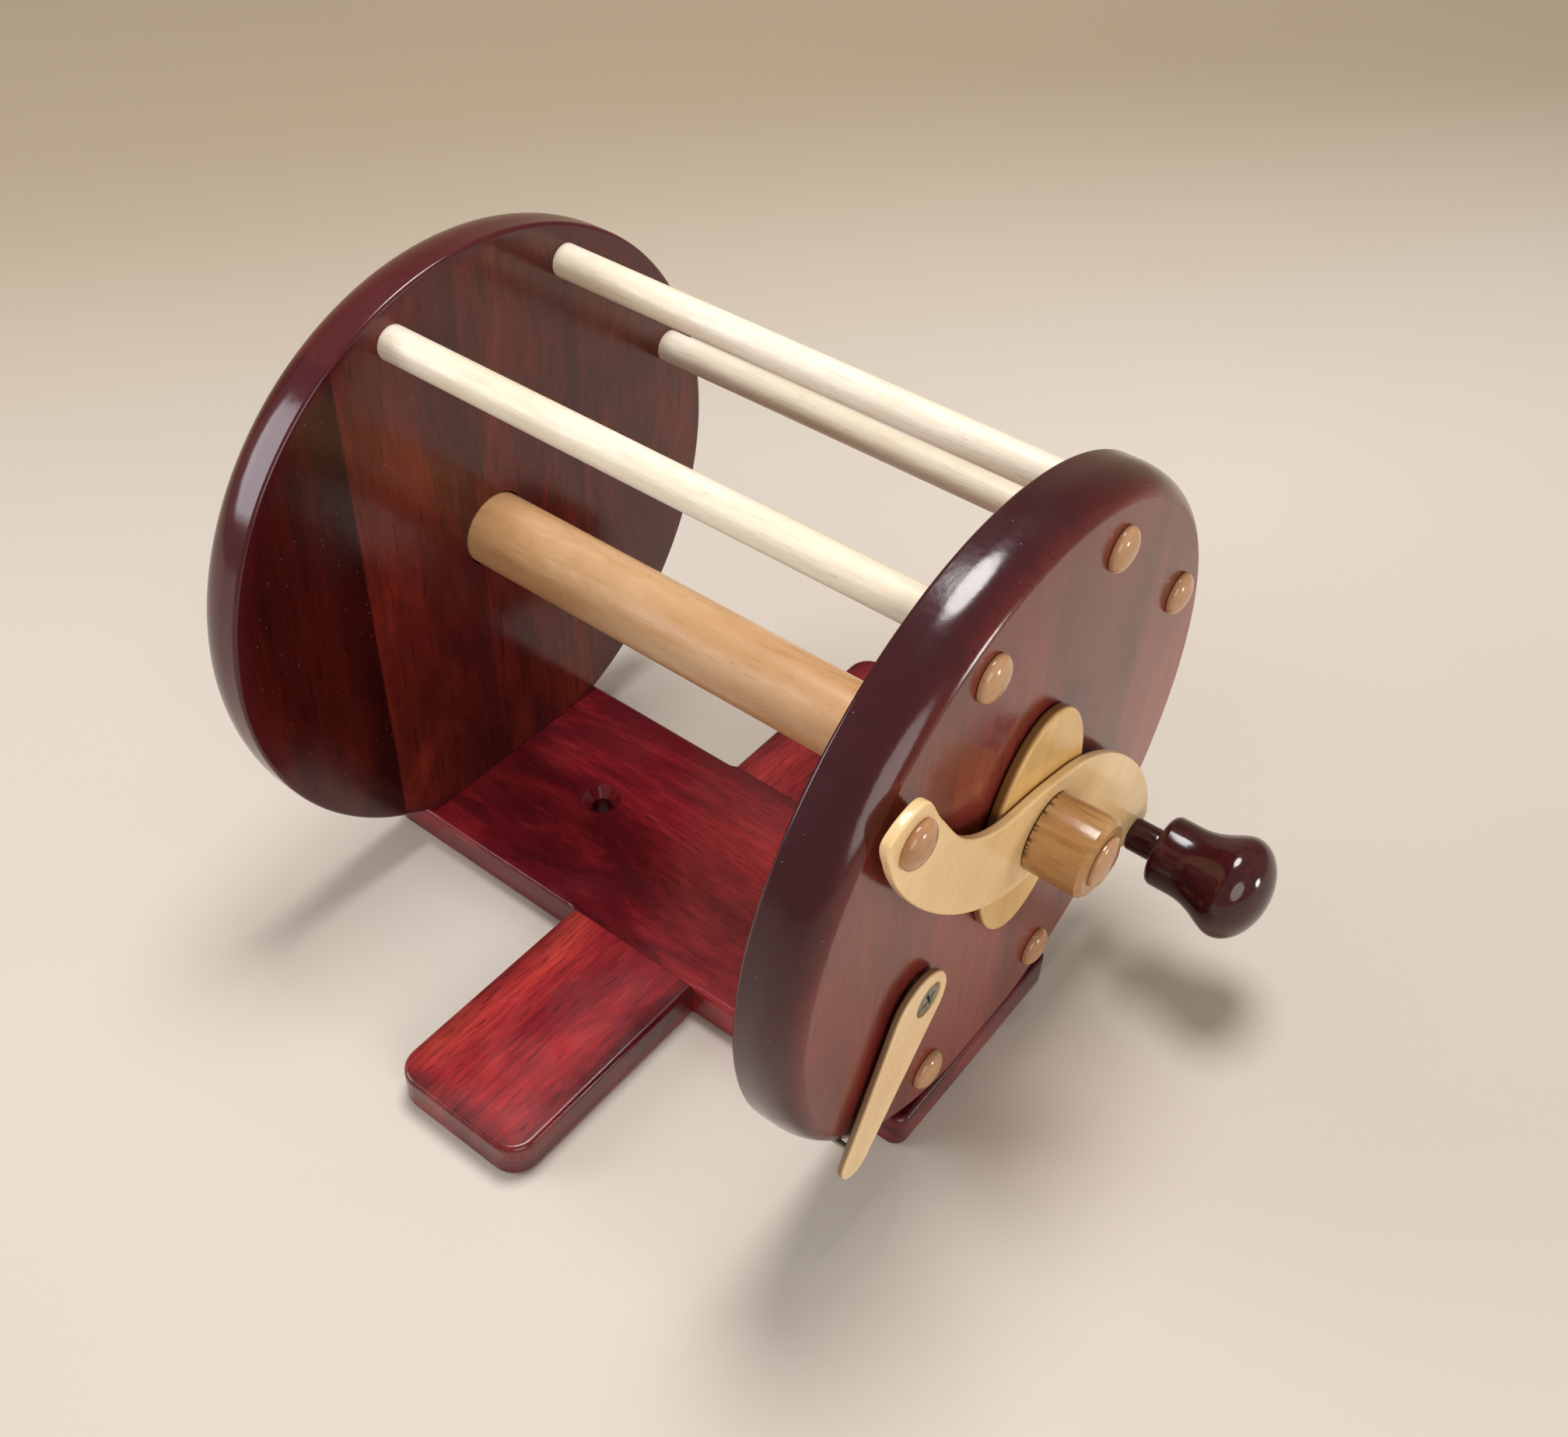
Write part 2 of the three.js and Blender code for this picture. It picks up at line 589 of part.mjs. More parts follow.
// The knob's outline as [radius, distance from its collar's face]: collar, flare, bulb.
function knobProfile() {
  const points = [[0, 0]];
  const collarSteps = 2;
  for (let i = 0; i <= collarSteps; i++) {
    const a = (i / collarSteps) * (Math.PI / 2);
    points.push([collarRadius - collarEase * (1 - Math.sin(a)), collarEase * (1 - Math.cos(a))]);
  }
  points.push([collarRadius, collarLength]);
  const flareSteps = 5;
  for (let i = 1; i <= flareSteps; i++) {
    const t = i / flareSteps;
    const late = t ** flarePower;
    const swell = late * late * (3 - 2 * late);
    const radius = collarRadius + (bulbRadius - collarRadius) * swell;
    points.push([radius, collarLength + (bulbStart - collarLength) * t]);
  }
  const domeSteps = 5;
  for (let i = 1; i < domeSteps; i++) {
    const a = (i / domeSteps) * (Math.PI / 2);
    points.push([bulbRadius * Math.cos(a), bulbStart + (knobLength - bulbStart) * Math.sin(a)]);
  }
  points.push([0, knobLength]);
  return points;
}

// The knob turns with its screw, which comes through the crank and the stem from behind.
function buildKnob(crank) {
  const sleeve = solid(pin(stemRadius, hubFace, knobFace - seam, 28));
  const stem = sleeve.subtract(boreAt(knobScrewRadius + turnGap, hubFace - 1, knobFace, 0, 0, 16));
  add(crank, 'knob_stem', geometryOf(stem), 'knobLacquer').position.set(...knobSpot, 0);

  const profile = knobProfile().map(([radius, z]) => [radius, knobFace + z]);
  const bore = boreAt(knobScrewRadius + seam, knobFace - 1, knobFace + knobScrewSeat + seam, 0, 0, 16);
  const knob = solid(turned(profile, 36)).subtract(bore);
  add(crank, 'knob', geometryOf(knob), 'knobLacquer').position.set(...knobSpot, 0);

  const start = crankBack + knobScrewSink;
  const length = knobFace + knobScrewSeat - start;
  const screw = screwShape(knobScrewRadius, knobScrewHeadRadius, knobScrewHeadHeight, length);
  add(crank, 'knob_screw', screw, 'steel').position.set(...knobSpot, start);
}

buildFoot();
buildDiscs();
buildLever();
buildSpindle();

export default holder;
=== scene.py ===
# Roll holder shaped like a fishing reel, in stained and lacquered wood.
import math

import bmesh
import bpy
from mathutils import Matrix, Vector


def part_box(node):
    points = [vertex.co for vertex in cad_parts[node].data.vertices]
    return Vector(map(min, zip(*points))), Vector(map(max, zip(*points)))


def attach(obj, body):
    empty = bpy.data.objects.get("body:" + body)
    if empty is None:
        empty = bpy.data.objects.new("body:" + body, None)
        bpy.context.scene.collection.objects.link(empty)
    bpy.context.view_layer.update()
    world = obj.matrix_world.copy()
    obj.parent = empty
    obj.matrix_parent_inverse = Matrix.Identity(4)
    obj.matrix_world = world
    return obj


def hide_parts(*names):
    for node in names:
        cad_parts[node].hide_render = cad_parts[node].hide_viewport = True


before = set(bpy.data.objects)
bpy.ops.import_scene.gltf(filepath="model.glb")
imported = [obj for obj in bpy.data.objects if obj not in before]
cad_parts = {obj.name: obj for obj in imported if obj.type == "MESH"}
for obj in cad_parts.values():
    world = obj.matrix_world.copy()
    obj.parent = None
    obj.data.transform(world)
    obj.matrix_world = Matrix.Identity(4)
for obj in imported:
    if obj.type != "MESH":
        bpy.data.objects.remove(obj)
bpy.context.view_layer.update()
print("frame loaded:", len(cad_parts), "nodes")

railLow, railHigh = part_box("rail_board")
frontLow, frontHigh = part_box("front_disc")
rearLow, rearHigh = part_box("rear_disc")
spindleLow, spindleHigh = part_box("spindle")
crankLow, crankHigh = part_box("crank_plate")
hubLow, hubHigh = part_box("hub")
discRadius = (frontHigh.y - frontLow.y) / 2
discCentre = Vector((0, 0, frontHigh.z - discRadius))
spindleRadius = (spindleHigh.y - spindleLow.y) / 2
reelAxis = Vector((0, 0, (spindleHigh.z + spindleLow.z) / 2))


def middleOf(node):
    low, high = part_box(node)
    return (low + high) / 2


def alongX(centre):
    return lambda along, u, v: Vector((along, centre.y + u, centre.z + v))


def alongZ(centre):
    return lambda along, u, v: Vector((centre.x + u, centre.y + v, along))


def arcSteps(count):
    return [math.pi / 2 * i / count for i in range(count + 1)]


def turnedRings(profile, place, count=96):  # profile is (along, radius) from one end to the other
    turns = [2 * math.pi * i / count for i in range(count)]
    rings = []
    for along, radius in profile:
        if radius < 1e-6:
            rings.append([place(along, 0, 0)])
        else:
            rings.append([place(along, radius * math.cos(a), radius * math.sin(a)) for a in turns])
    return rings


def plateRings(outlineAt, place, low, high, ease, steps=5):  # outlineAt(inset) gives the outline's points
    levels = [(ease * (1 - math.sin(a)), low + ease * (1 - math.cos(a))) for a in arcSteps(steps)]
    levels += [(ease * (1 - math.sin(a)), high - ease * (1 - math.cos(a))) for a in reversed(arcSteps(steps))]
    return [[place(height, u, v) for u, v in outlineAt(inset)] for inset, height in levels]


def skin(name, rings):  # closes both ends, with a fan on a single point and one flat face elsewhere
    verts, starts, faces = [], [], []
    for ring in rings:
        starts.append(len(verts))
        verts.extend(ring)
    for k in range(len(rings) - 1):
        a, b, size, nextSize = starts[k], starts[k + 1], len(rings[k]), len(rings[k + 1])
        for i in range(max(size, nextSize)):
            j = (i + 1) % max(size, nextSize)
            if size == 1:
                faces.append((a, b + j, b + i))
            elif nextSize == 1:
                faces.append((a + i, a + j, b))
            else:
                faces.append((a + i, a + j, b + j, b + i))
    for start, ring in ((starts[0], rings[0]), (starts[-1], rings[-1])):
        if len(ring) > 1:
            faces.append(tuple(range(start, start + len(ring))))
    mesh = bpy.data.meshes.new(name)
    mesh.from_pydata([tuple(v) for v in verts], [], faces)
    tidyFaces(mesh)
    return mesh


def tidyFaces(mesh):
    work = bmesh.new()
    work.from_mesh(mesh)
    bmesh.ops.remove_doubles(work, verts=work.verts, dist=1e-7)
    bmesh.ops.recalc_face_normals(work, faces=work.faces)
    work.to_mesh(mesh)
    work.free()


def asObject(name, mesh):
    thing = bpy.data.objects.new(name, mesh)
    bpy.context.scene.collection.objects.link(thing)
    return thing


def cutAway(mesh, cutters):  # cuts every cutter mesh out of the mesh
    work = asObject("work", mesh)
    for cutter in cutters:
        tool = asObject("tool", cutter)
        cut = work.modifiers.new("cut", "BOOLEAN")
        cut.operation, cut.solver, cut.object = "DIFFERENCE", "EXACT", tool
        bpy.context.view_layer.update()
        graph = bpy.context.evaluated_depsgraph_get()
        done = bpy.data.meshes.new_from_object(work.evaluated_get(graph))
        work.modifiers.clear()
        work.data = done
        bpy.data.objects.remove(tool)
    result = work.data
    bpy.data.objects.remove(work)
    result.name = mesh.name + "_cut"
    return result


def cutBelow(mesh, height):  # flat cut, closed with one face
    work = bmesh.new()
    work.from_mesh(mesh)
    parts = work.verts[:] + work.edges[:] + work.faces[:]
    plane = {"plane_co": (0, 0, height), "plane_no": (0, 0, 1)}
    cut = bmesh.ops.bisect_plane(work, geom=parts, clear_inner=True, **plane)
    edges = [e for e in cut["geom_cut"] if isinstance(e, bmesh.types.BMEdge)]
    bmesh.ops.holes_fill(work, edges=edges)
    work.to_mesh(mesh)
    work.free()
    tidyFaces(mesh)
    return mesh


def makePiece(name, mesh, body, stands, material, crease=30):
    piece = asObject(name, mesh)
    mesh.materials.clear()
    mesh.materials.append(material)
    mesh.polygons.foreach_set("use_smooth", [True] * len(mesh.polygons))
    mesh.set_sharp_from_angle(angle=math.radians(crease))
    even = piece.modifiers.new("even shading", "WEIGHTED_NORMAL")
    even.keep_sharp = True
    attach(piece, body)
    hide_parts(*stands)


def addNode(tree, kind, inputs=None, **settings):
    node = tree.nodes.new(kind)
    for key, value in settings.items():
        setattr(node, key, value)
    for key, value in (inputs or {}).items():
        if isinstance(value, bpy.types.NodeSocket):
            tree.links.new(value, node.inputs[key])
        else:
            node.inputs[key].default_value = value
    return node


def maths(tree, operation, a, b=0.0, c=0.0):
    node = addNode(tree, "ShaderNodeMath", {0: a, 1: b, 2: c}, operation=operation)
    return node.outputs[0]


def vectorMaths(tree, operation, a, b=(0, 0, 0)):
    return addNode(tree, "ShaderNodeVectorMath", {0: a, 1: b}, operation=operation).outputs[0]


def scaled(tree, vector, factors):
    return vectorMaths(tree, "MULTIPLY", vector, factors)


def noise(tree, vector, scale, detail=2.0, roughness=0.5, distortion=0.0):
    inputs = {"Vector": vector, "Scale": scale, "Detail": detail, "Roughness": roughness,
              "Distortion": distortion}
    return addNode(tree, "ShaderNodeTexNoise", inputs).outputs[0]


def remap(tree, value, low, high, toLow=0.0, toHigh=1.0):
    inputs = {"Value": value, "From Min": low, "From Max": high, "To Min": toLow, "To Max": toHigh}
    return addNode(tree, "ShaderNodeMapRange", inputs, interpolation_type="SMOOTHSTEP").outputs[0]


def mixColour(tree, factor, a, b, blend="MIX"):
    node = addNode(tree, "ShaderNodeMix", data_type="RGBA", blend_type=blend, clamp_factor=True)
    for socket, value in ((node.inputs[0], factor), (node.inputs[6], a), (node.inputs[7], b)):
        if isinstance(value, bpy.types.NodeSocket):
            tree.links.new(value, socket)
        else:
            socket.default_value = value if isinstance(value, float) else (*value, 1.0)
    return node.outputs[2]


def ramp(tree, factor, stops, interpolation="EASE"):
    node = addNode(tree, "ShaderNodeValToRGB", {0: factor})
    node.color_ramp.interpolation = interpolation
    marks = node.color_ramp.elements
    while len(marks) < len(stops):
        marks.new(0.5)
    for mark, (place, colour) in zip(marks, stops):
        mark.position = place
        mark.color = (*colour, 1.0)
    return node.outputs[0]


def newGroup(name, inputs, outputs):
    tree = bpy.data.node_groups.new(name, "ShaderNodeTree")
    for label, kind, value in inputs:
        socket = tree.interface.new_socket(name=label, in_out="INPUT", socket_type=kind)
        if value is not None:
            socket.default_value = value
    for label in outputs:
        tree.interface.new_socket(name=label, in_out="OUTPUT", socket_type="NodeSocketFloat")
    return tree, tree.nodes.new("NodeGroupInput").outputs, tree.nodes.new("NodeGroupOutput").inputs


def useGroup(tree, group, inputs):
    return addNode(tree, "ShaderNodeGroup", inputs, node_tree=group).outputs


# the smaller the number, the longer the pattern is along the grain
stretch = {"rings": 0.14, "fibres": 0.10, "pores": 0.09, "blotches": 0.32}
figureRange = {"fibres": (0.3, 0.7), "pores": (0.63, 0.74), "blotches": (0.3, 0.7), "poreScale": 1.7}


def buildWoodFigure():  # the grain runs along X of the vector
    tree, given, out = newGroup("wood figure", [
        ("Vector", "NodeSocketVector", None), ("Figure Scale", "NodeSocketFloat", 20.0),
        ("Ring Count", "NodeSocketFloat", 6.0), ("Fibre Scale", "NodeSocketFloat", 900.0),
        ("Blotch Scale", "NodeSocketFloat", 26.0)], ["Rings", "Fibres", "Pores", "Blotches"])

    def along(part):
        return scaled(tree, given["Vector"], (stretch[part], 1, 1))

    swirl = noise(tree, along("rings"), given["Figure Scale"], 2.0, 0.45, 0.5)
    bands = maths(tree, "PINGPONG", maths(tree, "MULTIPLY", swirl, given["Ring Count"]), 0.5)
    tree.links.new(maths(tree, "MULTIPLY", bands, 2.0), out["Rings"])
    fibre = noise(tree, along("fibres"), given["Fibre Scale"], 4.0, 0.6)
    tree.links.new(remap(tree, fibre, *figureRange["fibres"]), out["Fibres"])
    poreScale = maths(tree, "MULTIPLY", given["Fibre Scale"], figureRange["poreScale"])
    pore = noise(tree, along("pores"), poreScale, 1.0, 0.4)
    tree.links.new(remap(tree, pore, *figureRange["pores"]), out["Pores"])
    blotch = noise(tree, along("blotches"), given["Blotch Scale"], 7.0, 0.66, 0.5)
    tree.links.new(remap(tree, blotch, *figureRange["blotches"]), out["Blotches"])
    return tree


lacquer = {"nibShare": 0.72, "nibEdge": (0.07, 0.03), "nibHeight": 1.6, "hazeScale": 34.0,
           "hazeRange": (0.35, 0.7), "dustColour": (0.75, 0.68, 0.62), "bumpDistance": 0.00008}


def buildLacquerSkin():  # slight orange peel, specks of dust and a haze
    tree, given, out = newGroup("lacquer skin", [
        ("Vector", "NodeSocketVector", None), ("Peel Scale", "NodeSocketFloat", 700.0),
        ("Dust Scale", "NodeSocketFloat", 240.0)], ["Height", "Haze", "Specks"])
    peel = noise(tree, given["Vector"], given["Peel Scale"], 2.0, 0.5)
    dots = addNode(tree, "ShaderNodeTexVoronoi", {"Vector": given["Vector"], "Scale": given["Dust Scale"]})
    chance = addNode(tree, "ShaderNodeSeparateColor", {0: dots.outputs["Color"]}).outputs[0]
    picked = maths(tree, "GREATER_THAN", chance, lacquer["nibShare"])
    spot = remap(tree, dots.outputs["Distance"], *lacquer["nibEdge"])
    nib = maths(tree, "MULTIPLY", spot, picked)
    tree.links.new(nib, out["Specks"])
    tree.links.new(maths(tree, "MULTIPLY_ADD", nib, lacquer["nibHeight"], peel), out["Height"])
    cloud = noise(tree, given["Vector"], lacquer["hazeScale"], 3.0, 0.6)
    tree.links.new(remap(tree, cloud, *lacquer["hazeRange"]), out["Haze"])
    return tree


def buildRimTone():  # 1 at the rim of a round piece about X, 0 further in than the width
    tree, given, out = newGroup("rim tone", [
        ("Vector", "NodeSocketVector", None), ("Centre", "NodeSocketVector", (0, 0, 0)),
        ("Radius", "NodeSocketFloat", 0.07), ("Width", "NodeSocketFloat", 0.01)], ["Rim"])
    away = vectorMaths(tree, "SUBTRACT", given["Vector"], given["Centre"])
    flat = scaled(tree, away, (0, 1, 1))
    reach = addNode(tree, "ShaderNodeVectorMath", {0: flat}, operation="LENGTH").outputs["Value"]
    inner = maths(tree, "SUBTRACT", given["Radius"], given["Width"])
    tree.links.new(remap(tree, reach, inner, given["Radius"]), out["Rim"])
    return tree


def buildBoardTone():  # 1 at a board's edge in plan, 0 further in than the width
    tree, given, out = newGroup("board tone", [
        ("Vector", "NodeSocketVector", None), ("Centre", "NodeSocketVector", (0, 0, 0)),
        ("Half Size", "NodeSocketVector", (0.1, 0.1, 0.1)), ("Width", "NodeSocketFloat", 0.01)], ["Edge"])
    away = vectorMaths(tree, "SUBTRACT", given["Vector"], given["Centre"])
    size = vectorMaths(tree, "ABSOLUTE", away)
    inside = vectorMaths(tree, "SUBTRACT", given["Half Size"], size)
    parts = addNode(tree, "ShaderNodeSeparateXYZ", {0: inside}).outputs
    least = maths(tree, "MINIMUM", parts[0], parts[1])
    tree.links.new(remap(tree, least, given["Width"], 0.0), out["Edge"])
    return tree


woodFigure = buildWoodFigure()
lacquerSkin = buildLacquerSkin()
rimTone = buildRimTone()
boardTone = buildBoardTone()
print("shared effects built")


def grainVector(tree, point, grain, shift):  # turns the piece's own grain direction onto X
    turn = {"X": (0, 0, 0), "Y": (0, 0, -math.pi / 2), "Z": (0, math.pi / 2, 0)}[grain]
    node = addNode(tree, "ShaderNodeMapping", {"Vector": point, "Location": shift, "Rotation": turn})
    return node.outputs[0]


def lacqueredWood(name, look, grain="X", shift=(0, 0, 0), edge=None, lean=0.0):
    material = bpy.data.materials.new(name)
    material.use_nodes = True
    tree = material.node_tree
    shader = tree.nodes["Principled BSDF"]
    point = addNode(tree, "ShaderNodeTexCoord").outputs["Object"]
    if lean:
        point = addNode(tree, "ShaderNodeMapping", {"Vector": point, "Rotation": (lean, 0, 0)}).outputs[0]
    figure = useGroup(tree, woodFigure, {
        "Vector": grainVector(tree, point, grain, shift), "Figure Scale": look["figureScale"],
        "Ring Count": look["ringCount"], "Fibre Scale": look["fibreScale"],
        "Blotch Scale": look["blotchScale"]})
    skinOut = useGroup(tree, lacquerSkin, {
        "Vector": point, "Peel Scale": look["peelScale"], "Dust Scale": look["dustScale"]})
    colour = ramp(tree, figure["Blotches"], look["stain"])
    ringShade = maths(tree, "MULTIPLY", figure["Rings"], look["ringStrength"])
    colour = mixColour(tree, ringShade, colour, look["ringColour"])
    fibreShade = maths(tree, "MULTIPLY", figure["Fibres"], look["fibreStrength"])
    colour = mixColour(tree, fibreShade, colour, look["fibreColour"])
    poreShade = maths(tree, "MULTIPLY", figure["Pores"], look["poreStrength"])
    colour = mixColour(tree, poreShade, colour, look["poreColour"])
    if edge:
        colour = edge(tree, point, figure, colour)
    dust = maths(tree, "MULTIPLY", skinOut["Specks"], look["dustStrength"])
    colour = mixColour(tree, dust, colour, lacquer["dustColour"])
    tree.links.new(colour, shader.inputs["Base Color"])
    gloss = remap(tree, skinOut["Haze"], 0.0, 1.0, look["roughness"][0], look["roughness"][1])
    rough = maths(tree, "MULTIPLY_ADD", figure["Fibres"], look["fibreRough"], gloss)
    tree.links.new(rough, shader.inputs["Roughness"])
    shader.inputs["IOR"].default_value = look["ior"]
    relief = maths(tree, "MULTIPLY_ADD", figure["Fibres"], look["fibreRelief"], skinOut["Height"])
    bump = addNode(tree, "ShaderNodeBump", {"Height": relief, "Strength": look["bump"],
                                            "Distance": lacquer["bumpDistance"]})
    tree.links.new(bump.outputs[0], shader.inputs["Normal"])
    return material


redStain = {
    "stain": [(0.0, (0.040, 0.003, 0.006)), (0.30, (0.15, 0.008, 0.014)), (0.60, (0.33, 0.018, 0.026)),
              (1.0, (0.55, 0.045, 0.045))],
    "figureScale": 30.0, "ringCount": 7.0, "ringStrength": 0.30, "ringColour": (0.12, 0.006, 0.012),
    "fibreScale": 900.0, "fibreStrength": 0.55, "fibreColour": (0.10, 0.005, 0.010), "blotchScale": 30.0,
    "poreStrength": 0.5, "poreColour": (0.02, 0.002, 0.003), "peelScale": 520.0, "dustScale": 520.0,
    "dustStrength": 0.10, "roughness": (0.13, 0.24),
    "fibreRough": 0.03, "fibreRelief": 0.4, "bump": 0.16, "ior": 1.5,
}
discStain = {
    "stain": [(0.0, (0.045, 0.006, 0.005)), (0.4, (0.115, 0.014, 0.009)), (0.7, (0.20, 0.024, 0.013)),
              (1.0, (0.33, 0.046, 0.021))],
    "figureScale": 26.0, "ringCount": 8.0, "ringStrength": 0.30, "ringColour": (0.055, 0.006, 0.004),
    "fibreScale": 620.0, "fibreStrength": 0.40, "fibreColour": (0.045, 0.005, 0.003), "blotchScale": 24.0,
    "poreStrength": 0.45, "poreColour": (0.012, 0.002, 0.002), "peelScale": 480.0, "dustScale": 480.0,
    "dustStrength": 0.30, "roughness": (0.12, 0.20),
    "fibreRough": 0.04, "fibreRelief": 0.35, "bump": 0.15, "ior": 1.5,
}
paleMaple = {
    "stain": [(0.0, (0.84, 0.75, 0.58)), (0.5, (0.90, 0.82, 0.67)), (1.0, (0.94, 0.88, 0.76))],
    "figureScale": 60.0, "ringCount": 7.0, "ringStrength": 0.14, "ringColour": (0.72, 0.56, 0.36),
    "fibreScale": 1500.0, "fibreStrength": 0.16, "fibreColour": (0.60, 0.45, 0.28), "blotchScale": 60.0,
    "poreStrength": 0.30, "poreColour": (0.48, 0.33, 0.19), "peelScale": 900.0, "dustScale": 600.0,
    "dustStrength": 0.0, "roughness": (0.26, 0.36),
    "fibreRough": 0.08, "fibreRelief": 1.0, "bump": 0.3, "ior": 1.48,
}
honeyWood = {
    "stain": [(0.0, (0.50, 0.26, 0.11)), (0.45, (0.64, 0.37, 0.18)), (1.0, (0.76, 0.50, 0.28))],
    "figureScale": 55.0, "ringCount": 9.0, "ringStrength": 0.30, "ringColour": (0.56, 0.31, 0.13),
    "fibreScale": 1300.0, "fibreStrength": 0.25, "fibreColour": (0.52, 0.29, 0.13), "blotchScale": 45.0,
    "poreStrength": 0.25, "poreColour": (0.30, 0.13, 0.05), "peelScale": 900.0, "dustScale": 600.0,
    "dustStrength": 0.0, "roughness": (0.20, 0.30),
    "fibreRough": 0.06, "fibreRelief": 0.6, "bump": 0.25, "ior": 1.5,
}


def variant(base, **changes):
    return {**base, **changes}


# painted light: the near arm, on the lit side, gets a brighter copy of the crimson stain than the far arm
nearArmPaintedLight = variant(
    redStain, stain=[(0.0, (0.26, 0.016, 0.026)), (0.4, (0.46, 0.032, 0.036)),
                     (0.7, (0.56, 0.050, 0.044)), (1.0, (0.66, 0.078, 0.052))])
frontStain = variant(
    discStain, stain=[(0.0, (0.11, 0.016, 0.012)), (0.4, (0.165, 0.023, 0.017)),
                      (0.7, (0.21, 0.030, 0.021)), (1.0, (0.27, 0.040, 0.027))],
    ringStrength=0.12, fibreStrength=0.35, fibreColour=(0.09, 0.012, 0.009), roughness=(0.13, 0.22))
creamPlate = variant(
    paleMaple, stain=[(0.0, (0.80, 0.54, 0.25)), (0.5, (0.86, 0.60, 0.30)), (1.0, (0.90, 0.66, 0.36))],
    ringColour=(0.76, 0.48, 0.21), fibreColour=(0.76, 0.48, 0.22), poreColour=(0.62, 0.36, 0.14),
    ringStrength=0.12, fibreStrength=0.10, poreStrength=0.12, peelScale=650.0, roughness=(0.18, 0.28),
    fibreRelief=0.25, bump=0.25, ior=1.5)
amberPlate = variant(
    creamPlate, stain=[(0.0, (0.62, 0.36, 0.11)), (0.5, (0.72, 0.45, 0.16)), (1.0, (0.80, 0.52, 0.20))],
    ringColour=(0.60, 0.33, 0.09), fibreColour=(0.60, 0.34, 0.10), roughness=(0.10, 0.18))
leverWood = variant(
    creamPlate, stain=[(0.0, (0.80, 0.55, 0.29)), (0.5, (0.87, 0.62, 0.35)), (1.0, (0.92, 0.69, 0.42))])
peachButton = variant(
    creamPlate, stain=[(0.0, (0.40, 0.20, 0.10)), (0.5, (0.48, 0.26, 0.13)), (1.0, (0.56, 0.33, 0.18))],
    ringColour=(0.36, 0.17, 0.08), fibreColour=(0.36, 0.18, 0.08), roughness=(0.05, 0.10), bump=0.12)
hubWood = variant(
    honeyWood, stain=[(0.0, (0.36, 0.18, 0.065)), (0.5, (0.47, 0.25, 0.09)), (1.0, (0.58, 0.34, 0.15))],
    ringColour=(0.24, 0.10, 0.03), fibreColour=(0.26, 0.11, 0.035), fibreScale=900.0, fibreStrength=0.3,
    poreColour=(0.16, 0.07, 0.022), poreStrength=0.35, roughness=(0.14, 0.24), bump=0.3)
knobStain = variant(
    redStain, stain=[(0.0, (0.032, 0.006, 0.007)), (0.5, (0.070, 0.012, 0.013)), (1.0, (0.12, 0.018, 0.018))],
    ringColour=(0.018, 0.003, 0.004), fibreColour=(0.018, 0.003, 0.004), poreColour=(0.010, 0.002, 0.003),
    roughness=(0.08, 0.14), peelScale=420.0, bump=0.18, dustStrength=0.0)


def darkEdge(centre, halfSize, width, colour, strength):  # darker colour towards a board's edges
    def tint(tree, point, figure, base):
        inputs = {"Vector": point, "Centre": centre, "Half Size": halfSize, "Width": width}
        edge = useGroup(tree, boardTone, inputs)["Edge"]
        uneven = remap(tree, figure["Blotches"], 0.0, 1.0, 1.0, 0.55)
        amount = maths(tree, "MULTIPLY", maths(tree, "MULTIPLY", edge, uneven), strength)
        return mixColour(tree, amount, base, colour)
    return tint


def paintedSideShade(front, depth, colour, strength):  # painted shade: darker sides below a plate's front face, standing in for the sides' shade and their reflection of the dark disc
    def tint(tree, point, figure, base):
        height = addNode(tree, "ShaderNodeSeparateXYZ", {0: point}).outputs[0]
        side = remap(tree, height, front - depth * 0.12, front - depth * 0.45)
        return mixColour(tree, maths(tree, "MULTIPLY", side, strength), base, colour)
    return tint


screwSteel = {"patchScale": 900.0, "roughness": (0.28, 0.5), "bump": 0.3, "bumpDistance": 0.00005,
              "tones": [(0.3, (0.16, 0.15, 0.11)), (0.55, (0.34, 0.33, 0.27)), (0.8, (0.50, 0.49, 0.43))]}


def steelMaterial():
    material = bpy.data.materials.new("dull screw steel")
    material.use_nodes = True
    tree = material.node_tree
    shader = tree.nodes["Principled BSDF"]
    point = addNode(tree, "ShaderNodeTexCoord").outputs["Object"]
    patches = noise(tree, point, screwSteel["patchScale"], 4.0, 0.65)
    colour = ramp(tree, patches, screwSteel["tones"])
    tree.links.new(colour, shader.inputs["Base Color"])
    rough = remap(tree, patches, 0.3, 0.7, *screwSteel["roughness"])
    tree.links.new(rough, shader.inputs["Roughness"])
    shader.inputs["Metallic"].default_value = 1.0
    bump = addNode(tree, "ShaderNodeBump", {"Height": patches, "Strength": screwSteel["bump"],
                                            "Distance": screwSteel["bumpDistance"]})
    tree.links.new(bump.outputs[0], shader.inputs["Normal"])
    return material


steel = steelMaterial()

foot = {"railCorner": 0.0035, "armCorner": 0.0065, "ease": 0.0013, "holeRadius": 0.0026, "sinkRadius": 0.0048,
        "sinkDepth": 0.0026, "holeX": 0.0368, "stop": 0.0022, "jointGap": 0.00006, "cutPast": 0.002,
        "rimDrop": 0.0002, "rimFlare": 0.0003, "screwRoom": 0.0003, "screwSink": 0.0033,
        "hiddenEnd": 0.012, "stopPast": 0.0002, "edgeWidth": 0.011, "edgeStrength": 0.85,
        "armEdgeWidth": 0.0077, "armEdgeStrength": 0.8,
        "edgeColour": (0.016, 0.002, 0.004)}
smallestRadius = 0.0002


def cornerArc(centreX, centreY, radius, startTurn, count=8):
    turns = [startTurn + math.pi / 2 * i / count for i in range(count + 1)]
    return [(centreX + radius * math.cos(a), centreY + radius * math.sin(a)) for a in turns]


